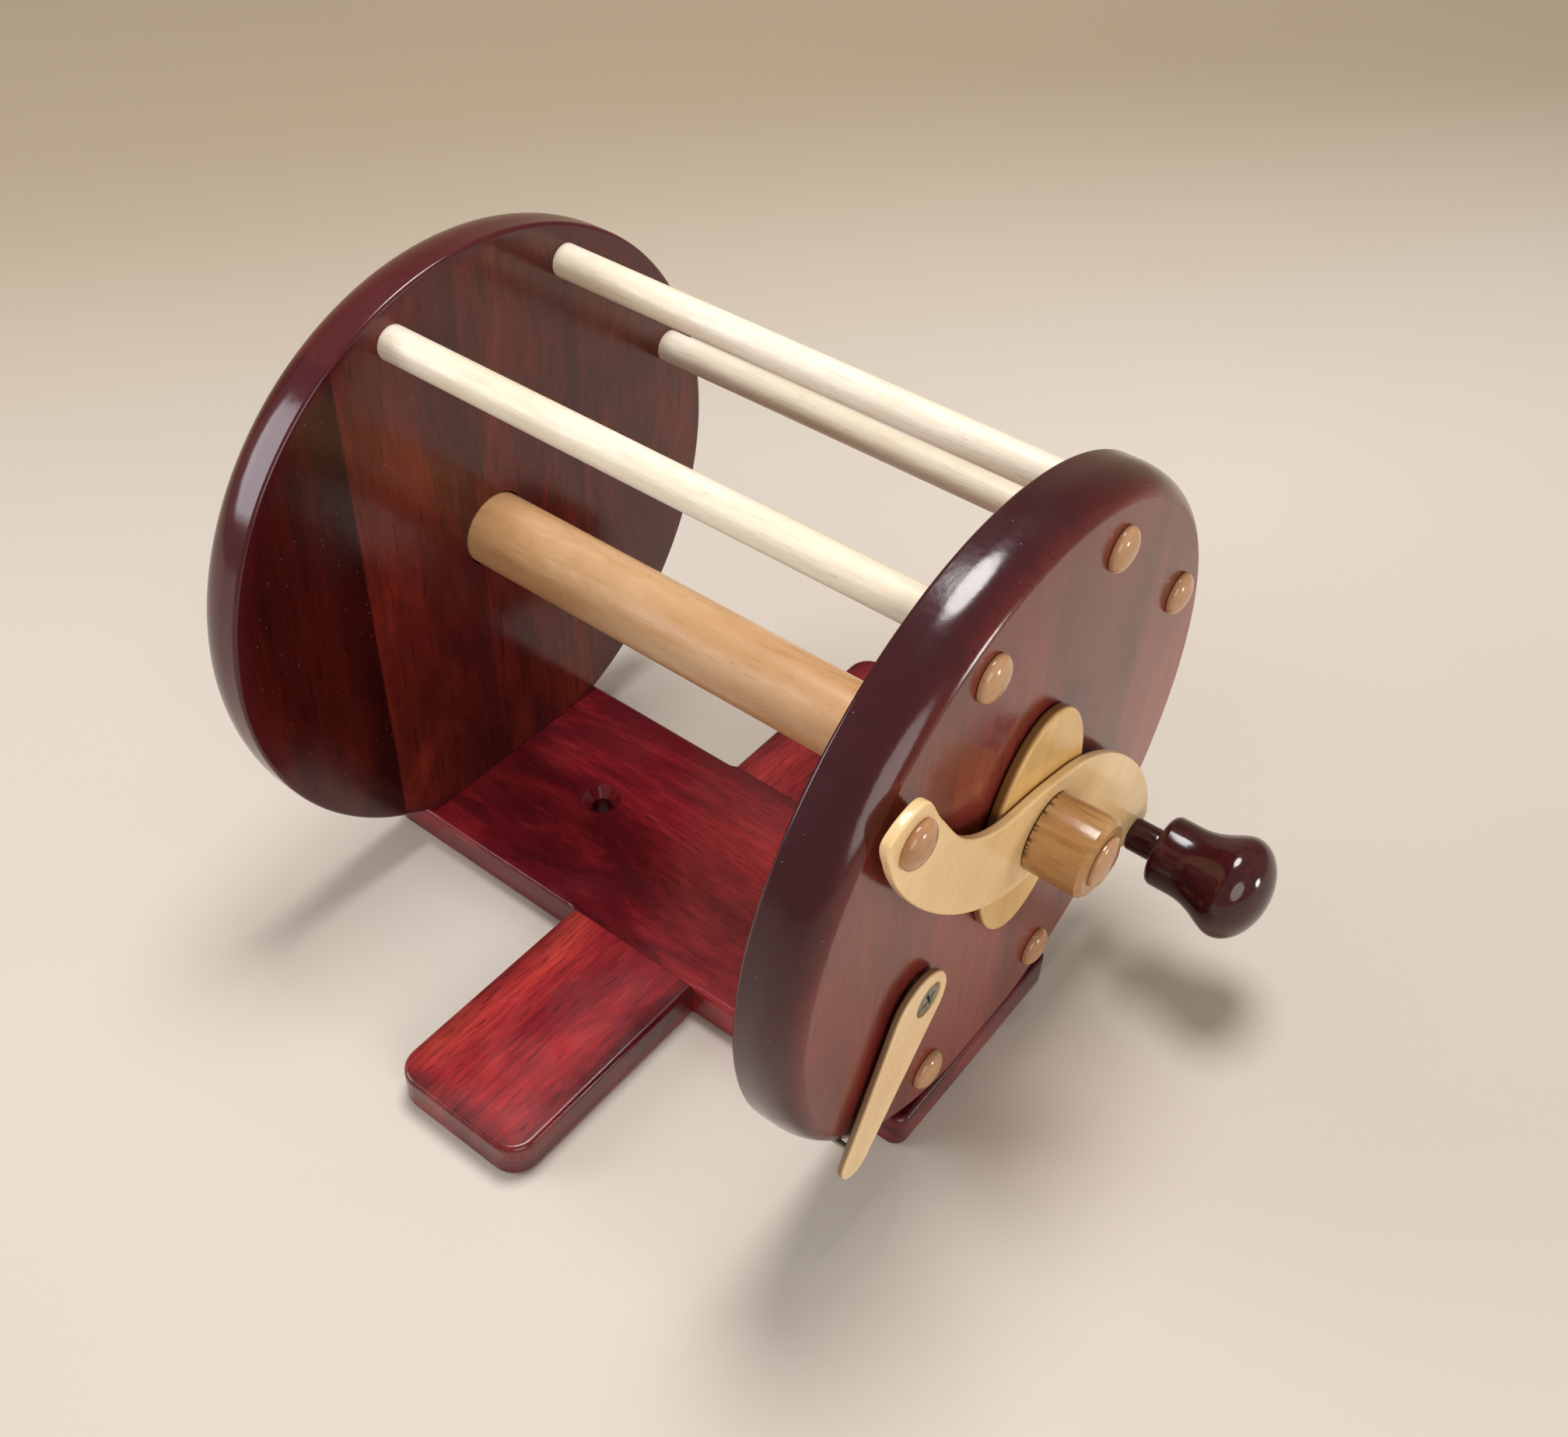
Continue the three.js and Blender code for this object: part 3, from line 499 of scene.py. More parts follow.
def railOutline(low, high, armLow, armHigh):
    radius, stop = foot["railCorner"], foot["stop"]

    def outline(inset):  # the eased edge stops at each arm
        x0, x1 = low.x + inset, high.x - inset
        r = max(radius - inset, smallestRadius)
        half = high.y
        points = []
        for side in (-1, 1):
            edge = half - inset
            lead = [(stop, edge), (stop * 0.5, half - inset * 0.7), (0, half - inset * 0.15),
                    (-foot["stopPast"], half)]
            run = [(armLow - x, y) for x, y in lead] + [(armHigh + x, y) for x, y in reversed(lead)]
            if side < 0:
                points += cornerArc(x0 + r, -edge + r, r, math.pi)
                points += [(x, -y) for x, y in run]
                points += cornerArc(x1 - r, -edge + r, r, -math.pi / 2)
            else:
                points += cornerArc(x1 - r, edge - r, r, 0)
                points += list(reversed(run))
                points += cornerArc(x0 + r, edge - r, r, math.pi / 2)
        return points
    return outline


def armOutline(low, high, side):
    def outline(inset):  # square at the rail, rounded at the far end
        r = max(foot["armCorner"] - inset, smallestRadius)
        x0, x1 = low.x + inset, high.x - inset
        tip = max(abs(low.y), abs(high.y)) - inset
        joint = railHigh.y + foot["jointGap"]
        points = [(x0, joint), (x1, joint)]
        points += cornerArc(x1 - r, tip - r, r, 0) + cornerArc(x0 + r, tip - r, r, math.pi / 2)
        return [(x, side * y) for x, y in points]
    return outline


def buildFoot():
    place = alongZ(Vector((0, 0, 0)))
    armLow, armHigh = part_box("arm_near")
    outline = railOutline(railLow, railHigh, armLow.x, armHigh.x)
    rail = skin("rail", plateRings(outline, place, 0.0, railHigh.z, foot["ease"]))
    top, deep = railHigh.z, railHigh.z - foot["sinkDepth"]
    hole, sink, past = foot["holeRadius"], foot["sinkRadius"], foot["cutPast"]
    drop, flare = foot["rimDrop"], foot["rimFlare"]
    cutters = []
    for x in (-foot["holeX"], foot["holeX"]):
        profile = [(-past, 0), (-past, hole), (deep, hole), (top - drop, sink), (top, sink + flare),
                   (top + past, sink + 2 * flare), (top + past, 0)]
        cutters.append(skin("hole", turnedRings(profile, alongZ(Vector((x, 0, 0))), 48)))
    for end in ("rear", "front"):
        for i in (1, 2):
            low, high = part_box(f"disc_screw_{end}_{i}")
            radius, deep = (high.x - low.x) / 2 + foot["screwRoom"], foot["screwSink"]
            profile = [(-past, 0), (-past, radius), (deep, radius), (deep, 0)]
            spot = Vector(((low.x + high.x) / 2, (low.y + high.y) / 2, 0))
            cutters.append(skin("sink", turnedRings(profile, alongZ(spot), 32)))
    rail = cutAway(rail, cutters)
    half = (railHigh - railLow) / 2
    ends = Vector((half.x, 1.0, half.z))  # only the rail's two ends are darker, not its long sides
    tint = darkEdge((0, 0, 0), ends, foot["edgeWidth"], foot["edgeColour"], foot["edgeStrength"])
    wood = lacqueredWood("rail crimson", redStain, "X", (0.31, 0.12, 0.05), tint)
    makePiece("railBoard", rail, "reel_frame", ["rail_board"], wood)
    for side, label in ((-1, "near"), (1, "far")):
        low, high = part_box(f"arm_{label}")
        outline = armOutline(low, high, side)
        mesh = skin(f"arm {label}", plateRings(outline, place, 0.0, high.z, foot["ease"]))
        hidden = foot["hiddenEnd"]  # keeps the end at the rail from being darkened
        centre = (low + high) / 2 - Vector((0, side * hidden, 0))
        half = (high - low) / 2 + Vector((0, hidden, 0))
        width, strength = foot["armEdgeWidth"], foot["armEdgeStrength"]
        tint = darkEdge(centre, half, width, foot["edgeColour"], strength)
        # painted light: the near arm takes the brighter copy of the stain
        look = nearArmPaintedLight if side < 0 else redStain
        wood = lacqueredWood(f"arm crimson {label}", look, "Y", (0.2 + side * 0.11, 0.4, 0.1), tint)
        makePiece(f"arm{label.title()}", mesh, "reel_frame", [f"arm_{label}"], wood)


buildFoot()
print("foot built")

disc = {"roundOver": 0.0047, "roundDepth": 0.0092, "ease": 0.0009, "arris": 11.0, "socketGap": 0.0004,
        "socketRoom": 0.0003, "cutPast": 0.01, "seamWidth": 0.10, "seamColour": (0.012, 0.002, 0.002)}
# boards are (where each starts across the disc, its tone, how dark the seam beside it is)
frontDisc = {"rimColour": (0.032, 0.0045, 0.009), "rimWidth": 0.0062, "rimStrength": 0.93,
             "boards": [(0.0, 1.0, 0.0), (0.30, 1.12, 0.10), (0.55, 0.92, 0.2), (0.78, 1.2, 0.1)]}
rearDisc = {"rimColour": (0.070, 0.008, 0.013), "rimWidth": 0.0045, "rimStrength": 0.85,
            "boards": [(0.0, 0.62, 0.0), (0.24, 1.12, 0.85), (0.47, 0.82, 0.35), (0.70, 1.0, 0.2)]}


def discTint(rimColour, rimWidth, rimStrength, boards):  # glued-up boards, and a dark rim
    def tint(tree, point, figure, base):
        across = addNode(tree, "ShaderNodeSeparateXYZ", {0: point}).outputs[1]
        spot = maths(tree, "MULTIPLY_ADD", across, 0.5 / discRadius, 0.5)
        tone = ramp(tree, spot, [(place, (value,) * 3) for place, value, _ in boards], "CONSTANT")
        colour = mixColour(tree, 1.0, base, tone, "MULTIPLY")
        for place, _, depth in boards[1:]:
            gap = maths(tree, "ABSOLUTE", maths(tree, "SUBTRACT", spot, place))
            line = maths(tree, "MULTIPLY", remap(tree, gap, disc["seamWidth"], 0.0), depth)
            side = maths(tree, "MULTIPLY", line, maths(tree, "LESS_THAN", spot, place))
            colour = mixColour(tree, side, colour, disc["seamColour"])
        inputs = {"Vector": point, "Centre": discCentre, "Radius": discRadius, "Width": rimWidth}
        rim = useGroup(tree, rimTone, inputs)["Rim"]
        return mixColour(tree, maths(tree, "MULTIPLY", rim, rimStrength), colour, rimColour)
    return tint


def discProfile(inner, outer):  # from the inner face out to the rounded outer face
    side = 1 if outer > inner else -1
    ease, over, back = disc["ease"], disc["roundOver"], disc["roundDepth"]
    points = [(inner, 0), (inner, discRadius * 0.5), (inner, discRadius - 2.5 * ease)]
    for a in arcSteps(6):
        points.append((inner + side * ease * (1 - math.cos(a)), discRadius - ease * (1 - math.sin(a))))
    lift = math.radians(disc["arris"])
    count = 22
    for i in range(count + 1):  # the round-over meets the face at a slight angle, which leaves a soft arris
        a = lift + (math.pi / 2 - lift) * (1 - i / count)
        depth = back * math.cos(a) / math.cos(lift)
        reach = over * (1 - math.sin(a)) / (1 - math.sin(lift))
        points.append((outer - side * back + side * depth, discRadius - reach))
    points += [(outer, discRadius * 0.45), (outer, 0)]
    return points


def discMesh(name, inner, outer, start, end):  # the spindle's hole runs from start to end
    mesh = skin(name, turnedRings(discProfile(inner, outer), alongX(discCentre), 240))
    mesh = cutBelow(mesh, frontLow.z)
    bore = spindleRadius + disc["socketGap"]
    hole = [(start, 0), (start, bore), (end, bore), (end, 0)]
    return cutAway(mesh, [skin("bore", turnedRings(hole, alongX(reelAxis), 72))])


def buildDiscs():
    past = disc["cutPast"]
    mesh = discMesh("front disc", frontLow.x, frontHigh.x, frontLow.x - past, frontHigh.x + past)
    wood = lacqueredWood("front disc burgundy", frontStain, "Z", (0.7, 0.2, 0.9), discTint(**frontDisc))
    makePiece("frontDisc", mesh, "reel_frame", ["front_disc"], wood)
    socket = spindleLow.x - disc["socketRoom"]
    mesh = discMesh("rear disc", rearHigh.x, rearLow.x, socket, rearHigh.x + past)
    wood = lacqueredWood("rear disc mahogany", discStain, "Z", (0.15, 0.6, 0.3), discTint(**rearDisc))
    makePiece("rearDisc", mesh, "reel_frame", ["rear_disc"], wood)


buildDiscs()
print("discs built")

pillar = {"ease": 0.0006}
spindle = {"ease": 0.0008, "tenonRadius": 0.005, "softEdge": 0.0002}


def easedEnd(end, side, radius, ease, steps):  # from the end face out to the full radius
    return [(end + side * ease * (1 - math.cos(a)), radius - ease * (1 - math.sin(a)))
            for a in arcSteps(steps)]


def evenRun(start, end, radius, count):  # the points between the two ends
    return [(start + (end - start) * i / count, radius) for i in range(1, count)]


def dowelProfile(start, end, radius, ease):
    points = [(start, 0)] + easedEnd(start, 1, radius, ease, 4)
    points += evenRun(start, end, radius, 8)
    return points + easedEnd(end, -1, radius, ease, 4)[::-1] + [(end, 0)]


def buildPillars():
    for i in (1, 2, 3):
        low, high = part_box(f"pillar_{i}")
        centre, radius = (low + high) / 2, (high.y - low.y) / 2
        profile = dowelProfile(low.x, high.x, radius, pillar["ease"])
        mesh = skin(f"pillar {i}", turnedRings(profile, alongX(centre), 64))
        wood = lacqueredWood(f"pillar maple {i}", paleMaple, "X", (0.13 * i, 0.21 * i, 0.4))
        makePiece(f"pillar{i}", mesh, "reel_frame", [f"pillar_{i}"], wood)


def buildSpindle():
    tenon, soft = spindle["tenonRadius"], spindle["softEdge"]
    shoulder = frontHigh.x
    points = [(spindleLow.x, 0)] + easedEnd(spindleLow.x, 1, spindleRadius, spindle["ease"], 5)
    points += evenRun(spindleLow.x, shoulder, spindleRadius, 10)
    points += [(shoulder - soft, spindleRadius), (shoulder, spindleRadius - soft), (shoulder, tenon),
               (spindleHigh.x, tenon), (spindleHigh.x, 0)]
    mesh = skin("spindle bar", turnedRings(points, alongX(reelAxis), 96))
    wood = lacqueredWood("spindle honey", honeyWood, "X", (0.33, 0.05, 0.62))
    makePiece("spindleBar", mesh, "spindle", ["spindle"], wood)


buildPillars()
buildSpindle()
print("pillars and spindle built")

button = {"rim": 0.00055, "softEdge": 0.00015, "lift": 0.00002}


def capProfile(base, top, radius):  # a rounded rim that runs into a low dome
    rim, soft, crown = button["rim"], button["softEdge"], top - base
    points = [(base, 0), (base, radius - soft), (base + soft, radius)]
    count = 18
    for i in range(count):
        a = math.pi / 2 * i / count
        points.append((base + rim + (crown - rim) * math.sin(a), radius * math.cos(a)))
    return points + [(top, 0)]


def buildButton(name, node, body, face, shift):
    low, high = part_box(node)
    centre, radius = (low + high) / 2, (high.y - low.y) / 2
    profile = capProfile(face + button["lift"], high.x, radius)
    mesh = skin(name, turnedRings(profile, alongX(centre), 64))
    wood = lacqueredWood(f"{name} peach", peachButton, "Y", shift)
    makePiece(name, mesh, body, [node], wood)


for i in range(1, 6):
    shift = (0.1 * i, 0.3 * i, 0.2)
    buildButton(f"faceButton{i}", f"face_button_{i}", "reel_frame", frontHigh.x, shift)
buildButton("crankButton", "crank_button", "spindle", crankHigh.x, (0.4, 0.1, 0.7))
buildButton("hubButton", "hub_button", "spindle", hubHigh.x, (0.9, 0.5, 0.2))
print("buttons built")


def offset(points, inset):  # moves an outline in along its own normals
    if inset == 0:
        return points
    moved = []
    for i, (x, y) in enumerate(points):
        (ax, ay), (bx, by) = points[i - 1], points[(i + 1) % len(points)]
        length = math.hypot(bx - ax, by - ay)
        moved.append((x - inset * (by - ay) / length, y + inset * (bx - ax) / length))
    return moved


def centripetal(points, each=10):  # closed smooth curve through the points
    total, curve = len(points), []
    for i in range(total):
        four = [Vector(points[(i + k - 1) % total]) for k in range(4)]
        gaps = [max((four[k + 1] - four[k]).length ** 0.5, 1e-6) for k in range(3)]
        startPull = ((four[1] - four[0]) / gaps[0] - (four[2] - four[0]) / (gaps[0] + gaps[1])
                     + (four[2] - four[1]) / gaps[1]) * gaps[1]
        endPull = ((four[2] - four[1]) / gaps[1] - (four[3] - four[1]) / (gaps[1] + gaps[2])
                   + (four[3] - four[2]) / gaps[2]) * gaps[1]
        for k in range(each):
            t = k / each
            a, b = 2 * t ** 3 - 3 * t ** 2 + 1, t ** 3 - 2 * t ** 2 + t
            c, d = -2 * t ** 3 + 3 * t ** 2, t ** 3 - t ** 2
            curve.append(tuple(four[1] * a + startPull * b + four[2] * c + endPull * d))
    return curve


def insetRings(outline, centre, low, high, ease):  # a plate with eased edges, facing along X
    return plateRings(lambda inset: offset(outline, inset), alongX(centre), low.x, high.x, ease)


def turnedOutline(points, degrees):
    c, s = math.cos(math.radians(degrees)), math.sin(math.radians(degrees))
    return [(c * x - s * y, s * x + c * y) for x, y in points]


# the side colour and strength paint shade on the crank's sides
crank = {"reach": 0.0762, "waist": 0.0179, "angle": -39.6, "ease": 0.00055,
         "sideShadeColour": (0.62, 0.40, 0.20), "sideShadeStrength": 0.4}


def crankOutline():  # an S shape: one side, then the same points turned half round
    reach, waist = crank["reach"], crank["waist"]
    side = [(-reach, -0.0026), (0.006 - reach, 0.0056), (0.017 - reach, 0.0026), (-0.042, -0.0016),
            (-0.027, 0.0001), (-0.009, 0.0094), (0.007, waist - 0.002), (0.024, waist),
            (0.044, waist - 0.0017), (reach - 0.0155, 0.0119), (reach - 0.0054, 0.0071)]
    whole = side + [(-x, -y) for x, y in side]
    return list(reversed(turnedOutline(centripetal(whole), crank["angle"])))


def buildCrank():
    rings = insetRings(crankOutline(), reelAxis, crankLow, crankHigh, crank["ease"])
    tint = paintedSideShade(crankHigh.x, crankHigh.x - crankLow.x, crank["sideShadeColour"], crank["sideShadeStrength"])
    wood = lacqueredWood("crank cream", creamPlate, "Y", (0.2, 0.7, 0.1), tint, math.radians(crank["angle"]))
    makePiece("crankPlate", skin("crank plate", rings), "spindle", ["crank_plate"], wood)


# the side colour and strength paint the shadow gap and the disc's dark reflection on the drag plate's sides
dragPlate = {"ease": 0.0006, "sideShadeColour": (0.14, 0.050, 0.012), "sideShadeStrength": 0.9, "sides": 120}


def buildDragPlate():
    low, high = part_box("drag_plate")
    halfWide, halfTall, sides = (high.y - low.y) / 2, (high.z - low.z) / 2, dragPlate["sides"]
    turns = [2 * math.pi * i / sides for i in range(sides)]
    outline = [(halfWide * math.cos(a), halfTall * math.sin(a)) for a in turns]
    rings = insetRings(outline, reelAxis, low, high, dragPlate["ease"])
    tint = paintedSideShade(high.x, high.x - low.x, dragPlate["sideShadeColour"], dragPlate["sideShadeStrength"])
    wood = lacqueredWood("drag plate amber", amberPlate, "Z", (0.5, 0.3, 0.8), tint)
    makePiece("dragPlate", skin("drag plate", rings), "drag_plate", ["drag_plate"], wood)


# the side colour and strength paint shade on the lever's sides
lever = {"reach": 0.0363, "headRadius": 0.0093, "tipRadius": 0.0048, "direction": 240.3, "ease": 0.0005,
         "screwBack": 0.0025, "screwAside": 0.0014, "sinkRadius": 0.0042, "sinkDepth": 0.0015,
         "sinkRim": 0.0005, "boreRadius": 0.0021, "cutPast": 0.001, "grainLean": 32,
         "sideShadeColour": (0.13, 0.055, 0.025), "sideShadeStrength": 0.85}


def leverOutline():  # two round ends and their tangents, with the screw a little off the head's centre
    head, tip = lever["headRadius"], lever["tipRadius"]
    lean = math.asin((head - tip) / lever["reach"])
    points = []
    count = 26
    for i in range(count + 1):
        a = -math.pi / 2 + lean + (math.pi - 2 * lean) * i / count
        points.append((lever["reach"] + tip * math.cos(a), tip * math.sin(a)))
    for i in range(count + 1):
        a = math.pi / 2 - lean + (math.pi + 2 * lean) * i / count
        points.append((head * math.cos(a), head * math.sin(a)))
    points = [(x + lever["screwBack"], y - lever["screwAside"]) for x, y in points]
    return turnedOutline(points, lever["direction"])


def buildLever():
    low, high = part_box("lever")
    pivot = middleOf("lever_screw")
    rings = insetRings(leverOutline(), pivot, low, high, lever["ease"])
    top, bore, sink, past = high.x, lever["boreRadius"], lever["sinkRadius"], lever["cutPast"]
    hole = [(low.x - past, 0), (low.x - past, bore), (top - lever["sinkDepth"], bore),
            (top - lever["sinkRim"], sink), (top + past, sink), (top + past, 0)]
    mesh = cutAway(skin("lever", rings), [skin("lever hole", turnedRings(hole, alongX(pivot), 48))])
    tint = paintedSideShade(high.x, high.x - low.x, lever["sideShadeColour"], lever["sideShadeStrength"])
    lean = math.radians(lever["grainLean"])
    wood = lacqueredWood("lever cream", leverWood, "Z", (0.6, 0.2, 0.35), tint, lean)
    makePiece("leverPiece", mesh, "lever", ["lever"], wood)


# each level of a slot is (distance past the head's face, half length, half width)
leverScrew = {"shankRadius": 0.0016, "shankStart": 0.002, "headStart": 0.0014, "headRim": 0.00055,
              "crown": 0.00035, "softEdge": 0.0001, "flattening": 0.98, "slotTurns": (20, 110),
              "slotLevels": [(0.001, 0.0025, 0.000448), (-0.00052, 0.0021, 0.00032),
                             (-0.0013, 0.0008, 0.000192)]}


def screwSlot(pivot, top, turn):  # one arm of the cross, which gets narrower as it goes down
    rings = []
    for past, length, half in leverScrew["slotLevels"]:
        corners = turnedOutline([(-length, -half), (length, -half), (length, half), (-length, half)], turn)
        rings.append([alongX(pivot)(top + past, u, v) for u, v in corners])
    return skin("slot", rings)


def buildLeverScrew():
    low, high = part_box("lever_screw")
    pivot, headRadius, top = middleOf("lever_screw"), (high.y - low.y) / 2, high.x
    shank, crown, flattening = leverScrew["shankRadius"], leverScrew["crown"], leverScrew["flattening"]
    points = [(low.x, 0), (low.x + leverScrew["shankStart"], shank), (top - leverScrew["headStart"], shank),
              (top - leverScrew["headRim"], headRadius - leverScrew["softEdge"]), (top - crown, headRadius)]
    for a in arcSteps(10)[1:-1]:
        reach = headRadius * (1 - flattening * (1 - math.cos(a)))
        points.append((top - crown + crown * math.sin(a), reach))
    points.append((top, 0))
    mesh = skin("lever screw", turnedRings(points, alongX(pivot), 48))
    slots = [screwSlot(pivot, top, turn) for turn in leverScrew["slotTurns"]]
    makePiece("leverScrew", cutAway(mesh, slots), "reel_frame", ["lever_screw"], steel, 40)


buildDragPlate()
buildCrank()
buildLever()
buildLeverScrew()
print("plates and lever built")

hub = {"ease": 0.0011, "softEdge": 0.0002, "tickReach": 0.0016, "tickColour": (0.05, 0.018, 0.006)}
knob = {"collarRadius": 0.00895, "collarLength": 0.00575, "bulbStart": 0.01915, "collarEase": 0.002,
        "flarePower": 1.4, "stemEase": 0.0003}


def buildHub():
    radius = (hubHigh.y - hubLow.y) / 2
    ease, soft = hub["ease"], hub["softEdge"]
    points = [(hubLow.x, 0), (hubLow.x, radius - soft), (hubLow.x + soft, radius)]
    points += evenRun(hubLow.x, hubHigh.x - ease, radius, 4)
    points += [(hubHigh.x - ease, radius), (hubHigh.x - ease * 0.93, radius - ease * 0.07),
               (hubHigh.x - ease * 0.07, radius - ease * 0.93), (hubHigh.x, radius - ease), (hubHigh.x, 0)]
    mesh = skin("hub", turnedRings(points, alongX(reelAxis), 96))

    def endTicks(tree, point, figure, base):  # short dark pores round the end next to the crank
        parts = addNode(tree, "ShaderNodeSeparateXYZ", {0: point}).outputs
        near = remap(tree, parts[0], hubLow.x + hub["tickReach"], hubLow.x)
        ticks = remap(tree, noise(tree, scaled(tree, point, (0.15, 1, 1)), 1500.0, 1.0), 0.5, 0.6)
        return mixColour(tree, maths(tree, "MULTIPLY", near, ticks), base, hub["tickColour"])

    wood = lacqueredWood("hub brown", hubWood, "X", (0.45, 0.25, 0.75), endTicks)
    makePiece("hubPiece", mesh, "spindle", ["hub"], wood, 24)


def knobProfile(start, end, bulbRadius):
    collar, long, bulb = knob["collarRadius"], knob["collarLength"], knob["bulbStart"]
    points = [(start, 0)] + easedEnd(start, 1, collar, knob["collarEase"], 8)
    points.append((start + long * 0.6, collar))
    count = 26
    for i in range(count + 1):
        t = i / count
        late = t ** knob["flarePower"]
        swell = late * late * (3 - 2 * late)
        points.append((start + long + (bulb - long) * t, collar + (bulbRadius - collar) * swell))
    for i in range(1, count):
        a = math.pi / 2 * i / count
        points.append((start + bulb + (end - start - bulb) * math.sin(a), bulbRadius * math.cos(a)))
    return points + [(end, 0)]


def buildKnob():
    low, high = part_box("knob")
    centre, radius = (low + high) / 2, (high.y - low.y) / 2
    profile = knobProfile(low.x, high.x, radius)
    wood = lacqueredWood("knob burgundy", knobStain, "X", (0.2, 0.4, 0.6))
    mesh = skin("knob", turnedRings(profile, alongX(centre), 96))
    makePiece("knobPiece", mesh, "knob", ["knob"], wood, 50)
    low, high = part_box("knob_stem")
    radius = (high.y - low.y) / 2
    profile = dowelProfile(low.x, high.x, radius, knob["stemEase"])
    mesh = skin("knob stem", turnedRings(profile, alongX(centre), 64))
    makePiece("knobStem", mesh, "spindle", ["knob_stem"], wood)


buildHub()
buildKnob()
print("hub and knob built")


def dressHidden():
    maple = lacqueredWood("pin maple", paleMaple, "Y", (0.3, 0.3, 0.3))
    for name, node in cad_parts.items():
        if name.startswith("arm_pin"):
            chosen = maple
        elif "screw" in name or name in ("lever_washer", "lever_rest_pin"):
            chosen = steel
        else:
            continue
        node.data.materials.clear()
        node.data.materials.append(chosen)


dressHidden()
print("hidden pieces dressed")

view = {"place": (0.173102, -0.213801, 0.326183), "azimuth": 0.62, "elevation": 0.764, "roll": 0.052,
        "lens": 37.883}


def buildCamera():
    azimuth, elevation, roll = view["azimuth"], view["elevation"], view["roll"]
    flat = math.cos(elevation)
    back = Vector((math.sin(azimuth) * flat, -math.cos(azimuth) * flat, math.sin(elevation)))
    level = Vector((0, 0, 1)).cross(back).normalized()
    rise = back.cross(level)
    right = math.cos(roll) * level + math.sin(roll) * rise
    up = math.cos(roll) * rise - math.sin(roll) * level
    data = bpy.data.cameras.new("camera")
    data.lens, data.sensor_width, data.clip_start = view["lens"], 36.0, 0.01
    camera = bpy.data.objects.new("camera", data)
    camera.matrix_world = Matrix((right, up, back)).transposed().to_4x4()
    camera.matrix_world.translation = Vector(view["place"])
    bpy.context.scene.collection.objects.link(camera)
    bpy.context.scene.camera = camera


# the far colour is painted shade, darkening the sheet towards the back and, through the lean, towards the
# left
paper = {"lean": Vector((-0.45, -0.1, 0)), "shadeFade": (0.14, 0.62), "farShadeColour": (0.43, 0.35, 0.245),
         "tones": [(0.3, (0.63, 0.570, 0.500)), (0.7, (0.66, 0.600, 0.530))], "roughness": 0.75,
         "toothScale": 2500.0, "tooth": 0.06, "toothDepth": 0.0002,
         "bend": 0.55, "bendRadius": 0.45, "rise": 1.2, "nearEnd": 1.6, "halfWidth": 2.2}


def paperMaterial():  # painted shade: the sheet gets darker and browner towards the back, where the light falls off
    material = bpy.data.materials.new("cream paper")
    material.use_nodes = True
    tree = material.node_tree
    shader = tree.nodes["Principled BSDF"]
    point = addNode(tree, "ShaderNodeTexCoord").outputs["Object"]
    cloud = noise(tree, point, 3.0, 3.0, 0.5)
    colour = ramp(tree, cloud, paper["tones"])
    back = Vector((-math.sin(view["azimuth"]), math.cos(view["azimuth"]), 0)) + paper["lean"]
    run = addNode(tree, "ShaderNodeVectorMath", {0: point, 1: back}, operation="DOT_PRODUCT").outputs["Value"]
    # painted shade towards the back of the sheet
    far = remap(tree, run, *paper["shadeFade"])
    colour = mixColour(tree, far, colour, paper["farShadeColour"])
    tree.links.new(colour, shader.inputs["Base Color"])
    shader.inputs["Roughness"].default_value = paper["roughness"]
    tooth = noise(tree, point, paper["toothScale"], 2.0, 0.5)
    bump = addNode(tree, "ShaderNodeBump", {"Height": tooth, "Strength": paper["tooth"],
                                            "Distance": paper["toothDepth"]})
    tree.links.new(bump.outputs[0], shader.inputs["Normal"])
    return material


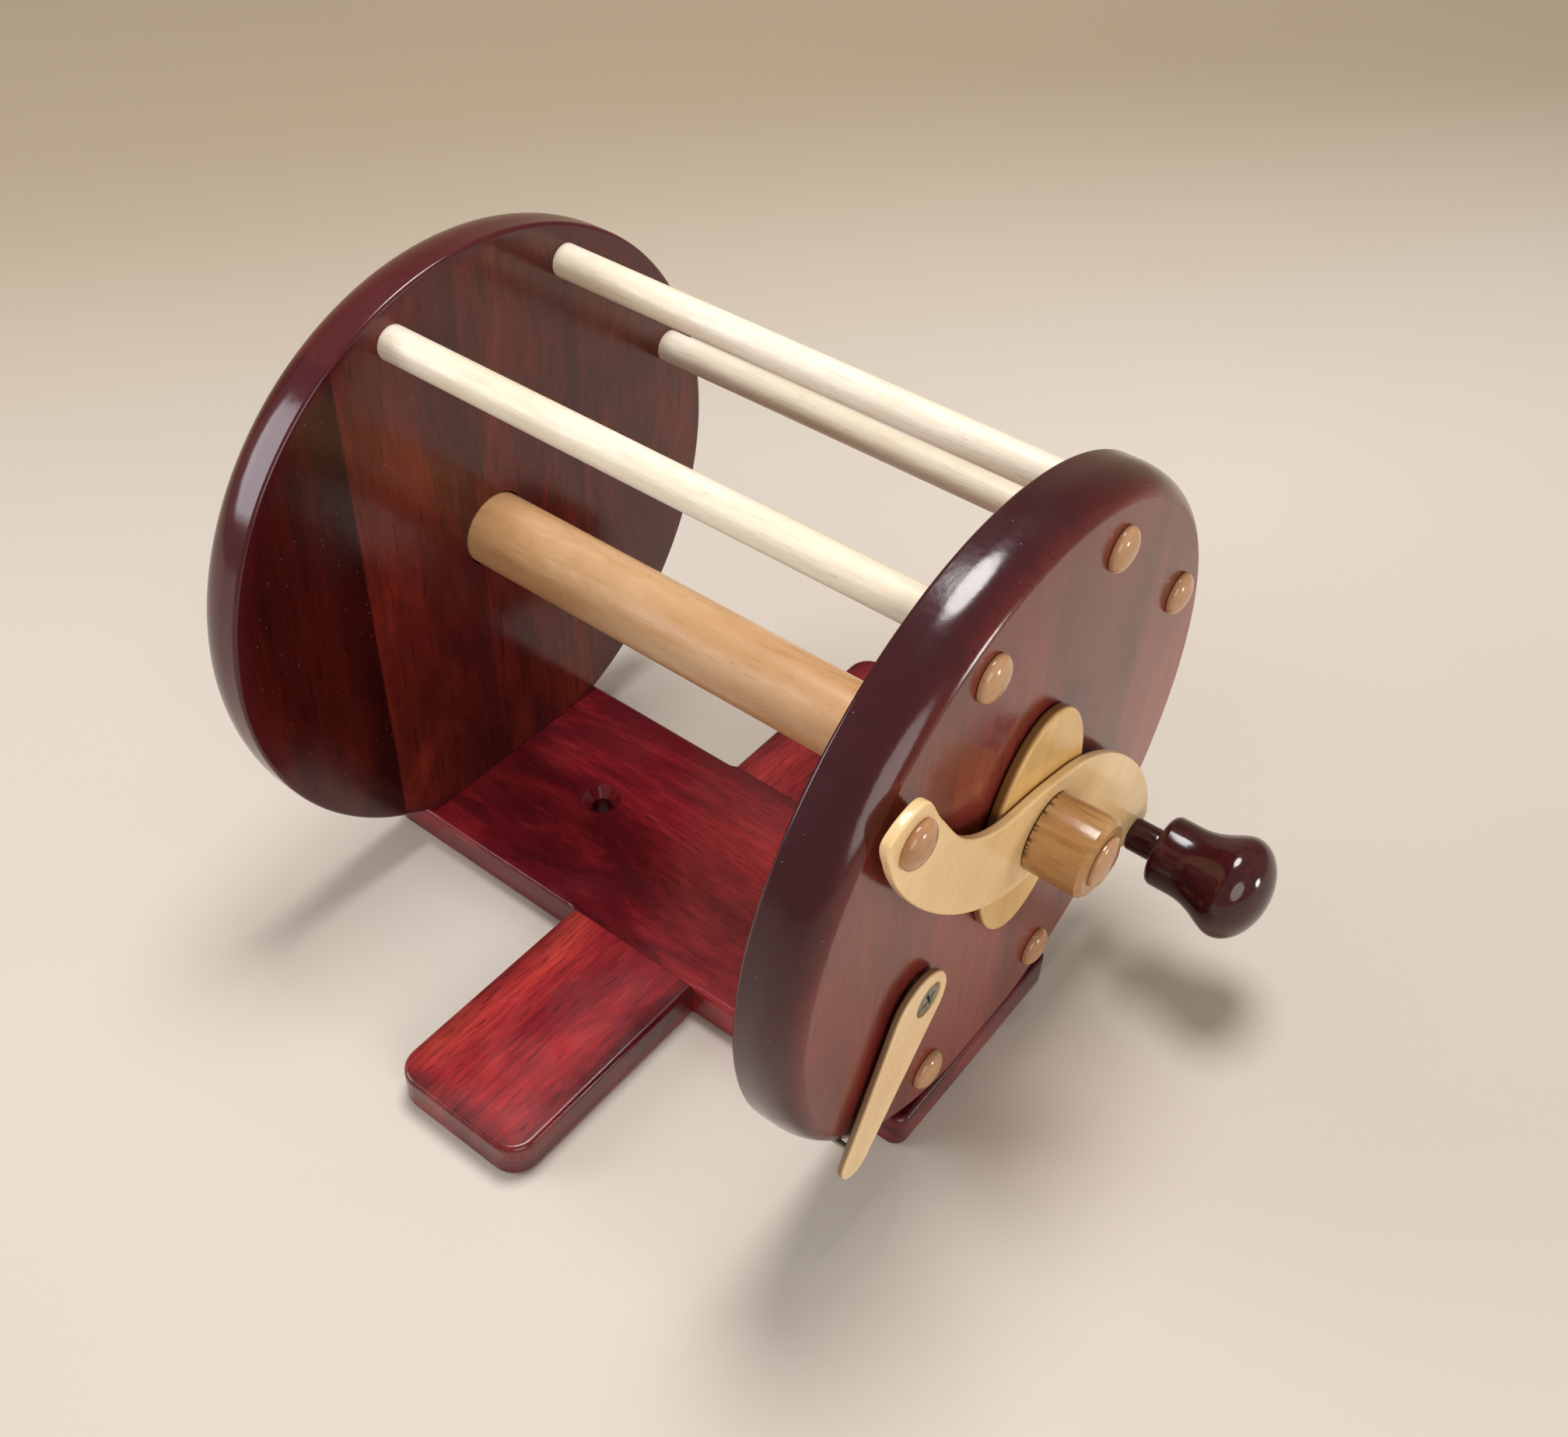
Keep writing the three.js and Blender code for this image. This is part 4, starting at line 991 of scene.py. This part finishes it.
def buildFloor():  # a flat sheet that curves up far behind
    away = Vector((-math.sin(view["azimuth"]), math.cos(view["azimuth"]), 0))
    aside = Vector((math.cos(view["azimuth"]), math.sin(view["azimuth"]), 0))
    bend, radius, near, half = paper["bend"], paper["bendRadius"], paper["nearEnd"], paper["halfWidth"]
    path = [(-near, 0.0), (-near / 2, 0.0), (0.0, 0.0), (bend, 0.0)]
    path += [(bend + radius * math.sin(a), radius * (1 - math.cos(a))) for a in arcSteps(24)[1:]]
    path.append((bend + radius, paper["rise"]))
    verts = []
    for run, height in path:
        middle = away * run + Vector((0, 0, height))
        verts += [tuple(middle + aside * across) for across in (-half, 0.0, half)]
    corners = [3 * k + i for k in range(len(path) - 1) for i in (0, 1)]
    faces = [(i, i + 1, i + 4, i + 3) for i in corners]
    mesh = bpy.data.meshes.new("floor")
    mesh.from_pydata(verts, [], faces)
    mesh.polygons.foreach_set("use_smooth", [True] * len(mesh.polygons))
    mesh.materials.append(paperMaterial())
    asObject("floor", mesh)


# each lamp is (name, direction from the object, distance, width, power, colour)
lamps = [("key", (-0.07, 0.18, 0.98), 1.0, 0.42, 8.2, (1.0, 0.985, 0.98)),
         ("left window", (-0.72, -0.60, 0.42), 1.3, 0.7, 6.5, (0.92, 0.94, 1.0)),
         ("front fill", (0.80, -0.45, 0.40), 1.5, 1.0, 7.5, (1.0, 0.965, 0.92)),
         ("right window", (0.92, 0.36, 0.05), 1.3, 0.22, 2.2, (1.0, 0.985, 0.96))]
room = {"colour": (0.50, 0.46, 0.41, 1.0), "strength": 0.62, "aim": Vector((0, 0, 0.06))}


def areaLight(name, direction, distance, size, power, colour):
    data = bpy.data.lights.new(name, "AREA")
    data.shape, data.size, data.energy, data.color = "DISK", size, power, colour
    lamp = bpy.data.objects.new(name, data)
    way = Vector(direction).normalized()
    lamp.location = room["aim"] + way * distance
    lamp.rotation_euler = way.to_track_quat("Z", "Y").to_euler()
    bpy.context.scene.collection.objects.link(lamp)


def buildLight():
    for lamp in lamps:
        areaLight(*lamp)
    world = bpy.data.worlds.new("room")
    world.use_nodes = True
    inputs = world.node_tree.nodes["Background"].inputs
    inputs["Color"].default_value = room["colour"]
    inputs["Strength"].default_value = room["strength"]
    bpy.context.scene.world = world
    bpy.context.scene.view_settings.view_transform = "Standard"


buildCamera()
buildFloor()
buildLight()
print("camera, floor and light built")
